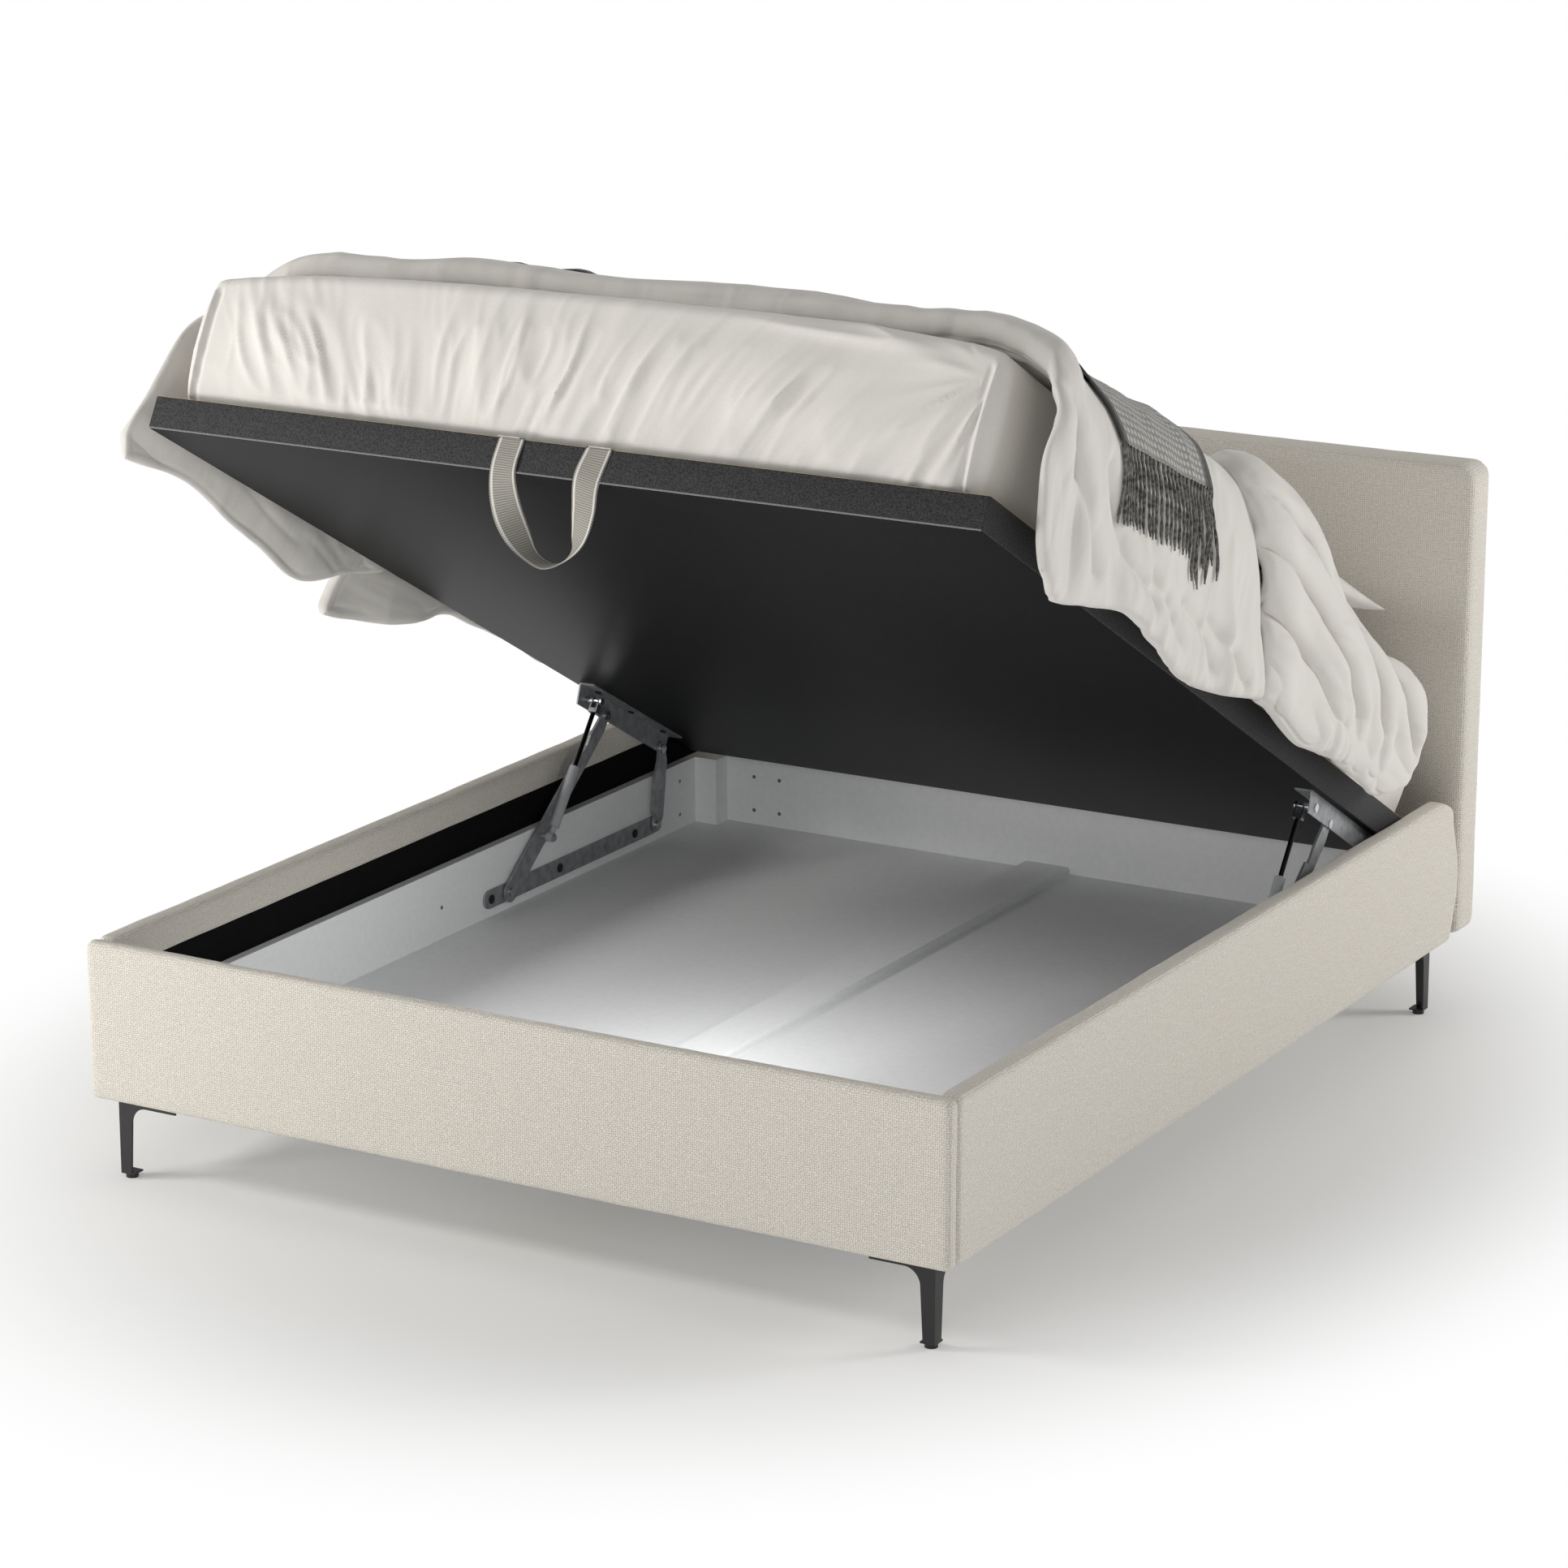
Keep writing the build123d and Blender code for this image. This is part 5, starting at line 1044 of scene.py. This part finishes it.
def onto_duvet(places, normals, gap):
    """Puts points on the duvet's outer side, each along its own direction."""
    moved = places.copy()
    for index in np.ndindex(places.shape[:-1]):
        place, normal = Vector(places[index]), Vector(normals[index])
        hit = duvet_tree.ray_cast(place + 0.09 * normal, -normal, 0.16)[0]
        if hit is not None:
            moved[index] = hit + gap * normal
    return moved


def throw():
    """The throw on the duvet: its piece, its grid of middle points, its width and length."""
    # its edges along the lid, from its left hem over the top to its right hem
    keys = [0, 2, 4, 5, 7, 9, 10, 11, 12]
    front = np.array([300, 275, 230, 200, 185, 160, 178, 232, 262]) / 1000
    back = np.array([600, 590, 540, 500, 480, 545, 600, 636, 660]) / 1000
    v = dense_ends(THROW_ROWS)
    at = np.array([np.concatenate([
        np.linspace(1.7, 4, 70, endpoint=False),
        np.linspace(4, 10, 190, endpoint=False),
        np.linspace(10, 11.06 - 0.42 * share, 80)]) for share in v])
    start, end = spline(keys, front, at), spline(keys, back, at)
    l = start + v[:, None] * (end - start)
    grid = np.zeros(l.shape + (3,))
    for row, col in np.ndindex(l.shape):
        key = at[row, col]
        top, shoulder, right, left, fold = (
            np.interp(l[row, col], duvet_table[:, 0], column) for column in duvet_table.T[1:])
        hem = right if key > MIDDLE else left
        line = np.array(section(top, shoulder, hem, fold, 0.0, 0.016))
        place = line_at(line, abs(key - MIDDLE))
        grid[row, col] = (math.copysign(place[0], key - MIDDLE), l[row, col], place[1])
    normals = grid_normals(grid)
    # the cloth bridges the duvet's small creases
    moved = softened(onto_duvet(grid, normals, THROW_GAP), 8)
    run = distances(moved[THROW_ROWS // 2])
    pleat = creases(v[:, None] * THROW_WIDTH, run[None, :], 0.045, 0.8, 301, 1.6)
    back_pleats = smooth_step(v, 0.55, 0.95)[:, None]
    lift = 0.006 * pleat * (0.35 + 0.9 * back_pleats) + 0.003
    # three rucks at its front edge: place across the bed, reach and height
    for place, reach, height in ((-0.29, 0.06, 0.036), (-0.16, 0.07, 0.038), (0.05, 0.05, 0.036)):
        lift = lift + height * bell(v, 0.08, 0.10)[:, None] * bell(grid[..., 0], place, reach)
    moved = onto_duvet(moved, normals, 0.002) * 0.5 + moved * 0.5
    moved = moved + normals * lift[..., None]
    uv = np.stack(np.broadcast_arrays(run[None, :], v[:, None]), -1)
    piece = pouch("wool_throw", moved, thin(moved, 0.0020), uv)
    hand_over(piece, "lid", "grey_wool", wool_check, "throw_blanket")
    widths = np.linalg.norm(np.diff(moved, axis=0), axis=-1).sum(0)
    lengths = np.linalg.norm(np.diff(moved, axis=1), axis=-1).sum(1)
    return piece, moved, float(np.median(widths)), float(np.median(lengths))


throw_piece, throw_grid, throw_width, throw_length = throw()

# the fringe's cords at each end of the throw, and the points and turns of each
CORDS = 27
CORD_POINTS = 22
CORD_TURNS = 9
CORD_LENGTH = 0.128
CORD_RADIUS = 0.0028
CORD_GAP = 0.0045


def cord(line, places, faces):
    """Adds a two-ply twisted cord along a line of points."""
    sides = 8
    first = len(places)
    run = np.gradient(line, axis=0)
    run /= np.linalg.norm(run, axis=1, keepdims=True)
    side = np.cross(run, (0, 1, 0.2))
    side /= np.linalg.norm(side, axis=1, keepdims=True)
    other = np.cross(run, side)
    count = len(line)
    for index in range(count):
        taper = min(1.0, 0.55 + 0.6 * min(index, count - 1 - index) / 2)
        for k in range(sides):
            turn = 2 * math.pi * k / sides
            ply = 1 + 0.28 * math.cos(2 * (turn - 2 * math.pi * CORD_TURNS * index / count))
            out = math.cos(turn) * side[index] + math.sin(turn) * other[index]
            places.append(line[index] + CORD_RADIUS * taper * ply * out)
    for index in range(count - 1):
        for k in range(sides):
            a, b = first + index * sides + k, first + index * sides + (k + 1) % sides
            faces.append((a, b, b + sides, a + sides))
    ends = len(places)
    places.extend((line[0], line[-1]))
    last = first + (count - 1) * sides
    for k in range(sides):
        nxt = (k + 1) % sides
        faces.append((ends, first + nxt, first + k))
        faces.append((ends + 1, last + k, last + nxt))


def fringe():
    """Twisted cords that hang down from both hems; some at the back right swing loose."""
    rng = np.random.default_rng(401)
    places, faces = [], []
    for side, column in ((1, -1), (-1, 0)):
        hem = throw_grid[:, column]
        shares = np.linspace(0, 1, len(hem))
        for number in range(CORDS):
            share = (number + 0.5) / CORDS
            loose = share > 0.70 and side > 0
            start = np.array([np.interp(share, shares, hem[:, axis]) for axis in range(3)])
            length = CORD_LENGTH + (0.055 if loose else 0.008) * rng.random()
            lean = (0.22 if loose else 0.03) * (rng.random() - 0.5)
            phase = 6.28 * rng.random()
            line = []
            for t in np.linspace(0, 1, CORD_POINTS):
                fall = length * t
                wave = (0.008 if loose else 0.0012) * math.sin(phase + 5 * t) * t
                l = start[1] + SIN * fall + (lean * fall + wave) * COS
                n = start[2] - COS * fall + (lean * fall + wave) * SIN
                x = start[0]
                hit = duvet_tree.ray_cast(
                    Vector((side * 1.2, l, n)), Vector((-side, 0, 0)), 0.5)[0]
                if hit is not None:
                    x = side * (max(side * hit.x, 0.80) + CORD_GAP)
                line.append((x, l, n))
            line = np.array(line)
            ease = smooth_step(np.linspace(0, 1, CORD_POINTS), 0.0, 0.18)
            line[:, 0] = start[0] + (line[:, 0] - start[0]) * ease
            for _ in range(3):
                line[1:-1] = (line[:-2] + line[1:-1] * 2 + line[2:]) / 4
            cord(line, places, faces)
    piece = mesh_object("throw_fringe_cords", places, faces)
    hand_over(piece, "lid", "grey_wool", fringe_yarn, "throw_fringe")
    return piece


fringe_piece = fringe()


# ---- pillows


def pillow(sign):
    """A soft pillow: pointed corners, drawn-in sides, its underside resting on the duvet."""
    half_x, half_l, draw = 0.345, 0.195, 0.024
    u = 2 * dense_ends(76) - 1
    v = 2 * dense_ends(60) - 1
    uu, vv = np.meshgrid(u, v)
    x = uu * (half_x - draw * (1 - vv ** 2))
    l = vv * (half_l - draw * (1 - uu ** 2))
    puff = (np.maximum(1 - np.abs(uu) ** 2.4, 0) * np.maximum(1 - np.abs(vv) ** 2.2, 0)) ** 0.55
    ridges = creases(x + 0.6 * l, l - x * 0.3, 0.055, 0.22, 501 + 10 * sign, 2.0)
    corner = smooth_step(np.abs(uu) * np.abs(vv), 0.25, 0.8)
    puff = puff * (1 + 0.06 * value_noise(x / 0.09, l / 0.09, 503)) + 0.05 * ridges * corner * puff
    turn = math.radians(-9 if sign > 0 else 5)
    cx, cl, cn = (0.366, 1.606, 0.426) if sign > 0 else (-0.400, 1.66, 0.428)
    px = cx + x * math.cos(turn) - l * math.sin(turn)
    pl = cl + x * math.sin(turn) + l * math.cos(turn)
    sag = 0.018 * smooth_step(np.abs(uu), 0.6, 1.0)
    middle = np.stack([px, pl, np.full_like(px, cn) - sag], -1)
    piece = pouch("pillow_right" if sign > 0 else "pillow_left", middle, 0.056 * puff)
    hand_over(piece, "lid", "duvet_cotton", duvet_percale, "pillows")


pillow(-1)
pillow(1)


# ---- floor, light and camera


def floor():
    """Pale studio floor that fades to white away from the bed."""
    bpy.ops.object.select_all(action="DESELECT")
    bpy.ops.mesh.primitive_plane_add(size=160, location=(0, 0, 0))
    piece = bpy.context.object
    piece.name = piece.data.name = "studio_floor"
    material, tree, shader = start_material(
        "pale_studio_floor", "#F4F4F3", 0.9, specular=0.1)
    place = add_node(tree, "TexCoord", {}, {}).outputs["Object"]
    # how far out a point is, as a share of the bed's own half width and half length
    place = add_node(tree, "Mapping", {}, {
        "Vector": place, "Scale": (1 / 0.86, 1 / 1.09, 1)}).outputs["Vector"]
    far = add_node(tree, "VectorMath", {"operation": "LENGTH"}, {0: place})
    fade = add_node(tree, "MapRange", {"interpolation_type": "SMOOTHSTEP"}, {
        "Value": far.outputs["Value"], "From Min": 1.10, "From Max": 1.95, "To Min": 0.06})
    white = add_node(tree, "Emission", {}, {"Color": (1, 1, 1, 1), "Strength": 1.0})
    both = add_node(tree, "MixShader", {}, {
        0: fade.outputs["Result"], 1: shader.outputs[0], 2: white.outputs[0]})
    tree.links.new(both.outputs[0], tree.nodes["Material Output"].inputs["Surface"])
    piece.data.materials.append(material)


def softbox(name, location, target, size, power, colour="#FFFFFF"):
    data = bpy.data.lights.new(name, "AREA")
    data.shape = "DISK"
    data.size = size
    data.energy = power
    data.color = linear(colour)[:3]
    lamp = bpy.data.objects.new(name, data)
    lamp.location = location
    lamp.rotation_euler = (Vector(target) - Vector(location)).to_track_quat("-Z", "Y").to_euler()
    lamp.visible_camera = False
    bpy.context.scene.collection.objects.link(lamp)


floor()
softbox("left_light", (-2.5, -3.3, 0.6), (-0.3, -0.8, 0.5), 0.9, 41, "#FFFDF9")
softbox("high_left_light", (-4.2, -3.2, 3.4), (0.0, -0.4, 0.8), 1.4, 105, "#FFFEFB")
softbox("front_light", (2.4, -6.2, 3.4), (-0.2, -0.3, 0.3), 2.0, 24)
softbox("right_light", (5.0, 3.4, 2.4), (0.6, 0.6, 0.6), 2.0, 135, "#FFFEFC")
# two panels under the raised lid, one turned down into the storage, one to its left side;
# with the lid closed they are inside the bedding
softbox("storage_light", (0.1, -0.60, 0.60), (0.1, -0.42, 0.0), 0.75, 1.9)
softbox("left_side_light", (0.25, -0.72, 0.53), (-0.86, -0.40, 0.62), 0.22, 2.2)

scene = bpy.context.scene
world = bpy.data.worlds.new("studio_air")
world.use_nodes = True
background = world.node_tree.nodes["Background"]
background.inputs["Color"].default_value = linear("#FFFFFF")
background.inputs["Strength"].default_value = 0.38
scene.world = world
scene.view_settings.view_transform = "Standard"

camera_data = bpy.data.cameras.new("photo_camera")
camera_data.sensor_width = 36.0
camera_data.lens = 115.474
camera_data.clip_end = 200.0
camera = bpy.data.objects.new("photo_camera", camera_data)
camera.location = (4.2981, -7.5809, 2.9961)
camera.rotation_euler = (math.radians(90 - 15.575), 0.0, math.radians(29.981))
scene.collection.objects.link(camera)
scene.camera = camera
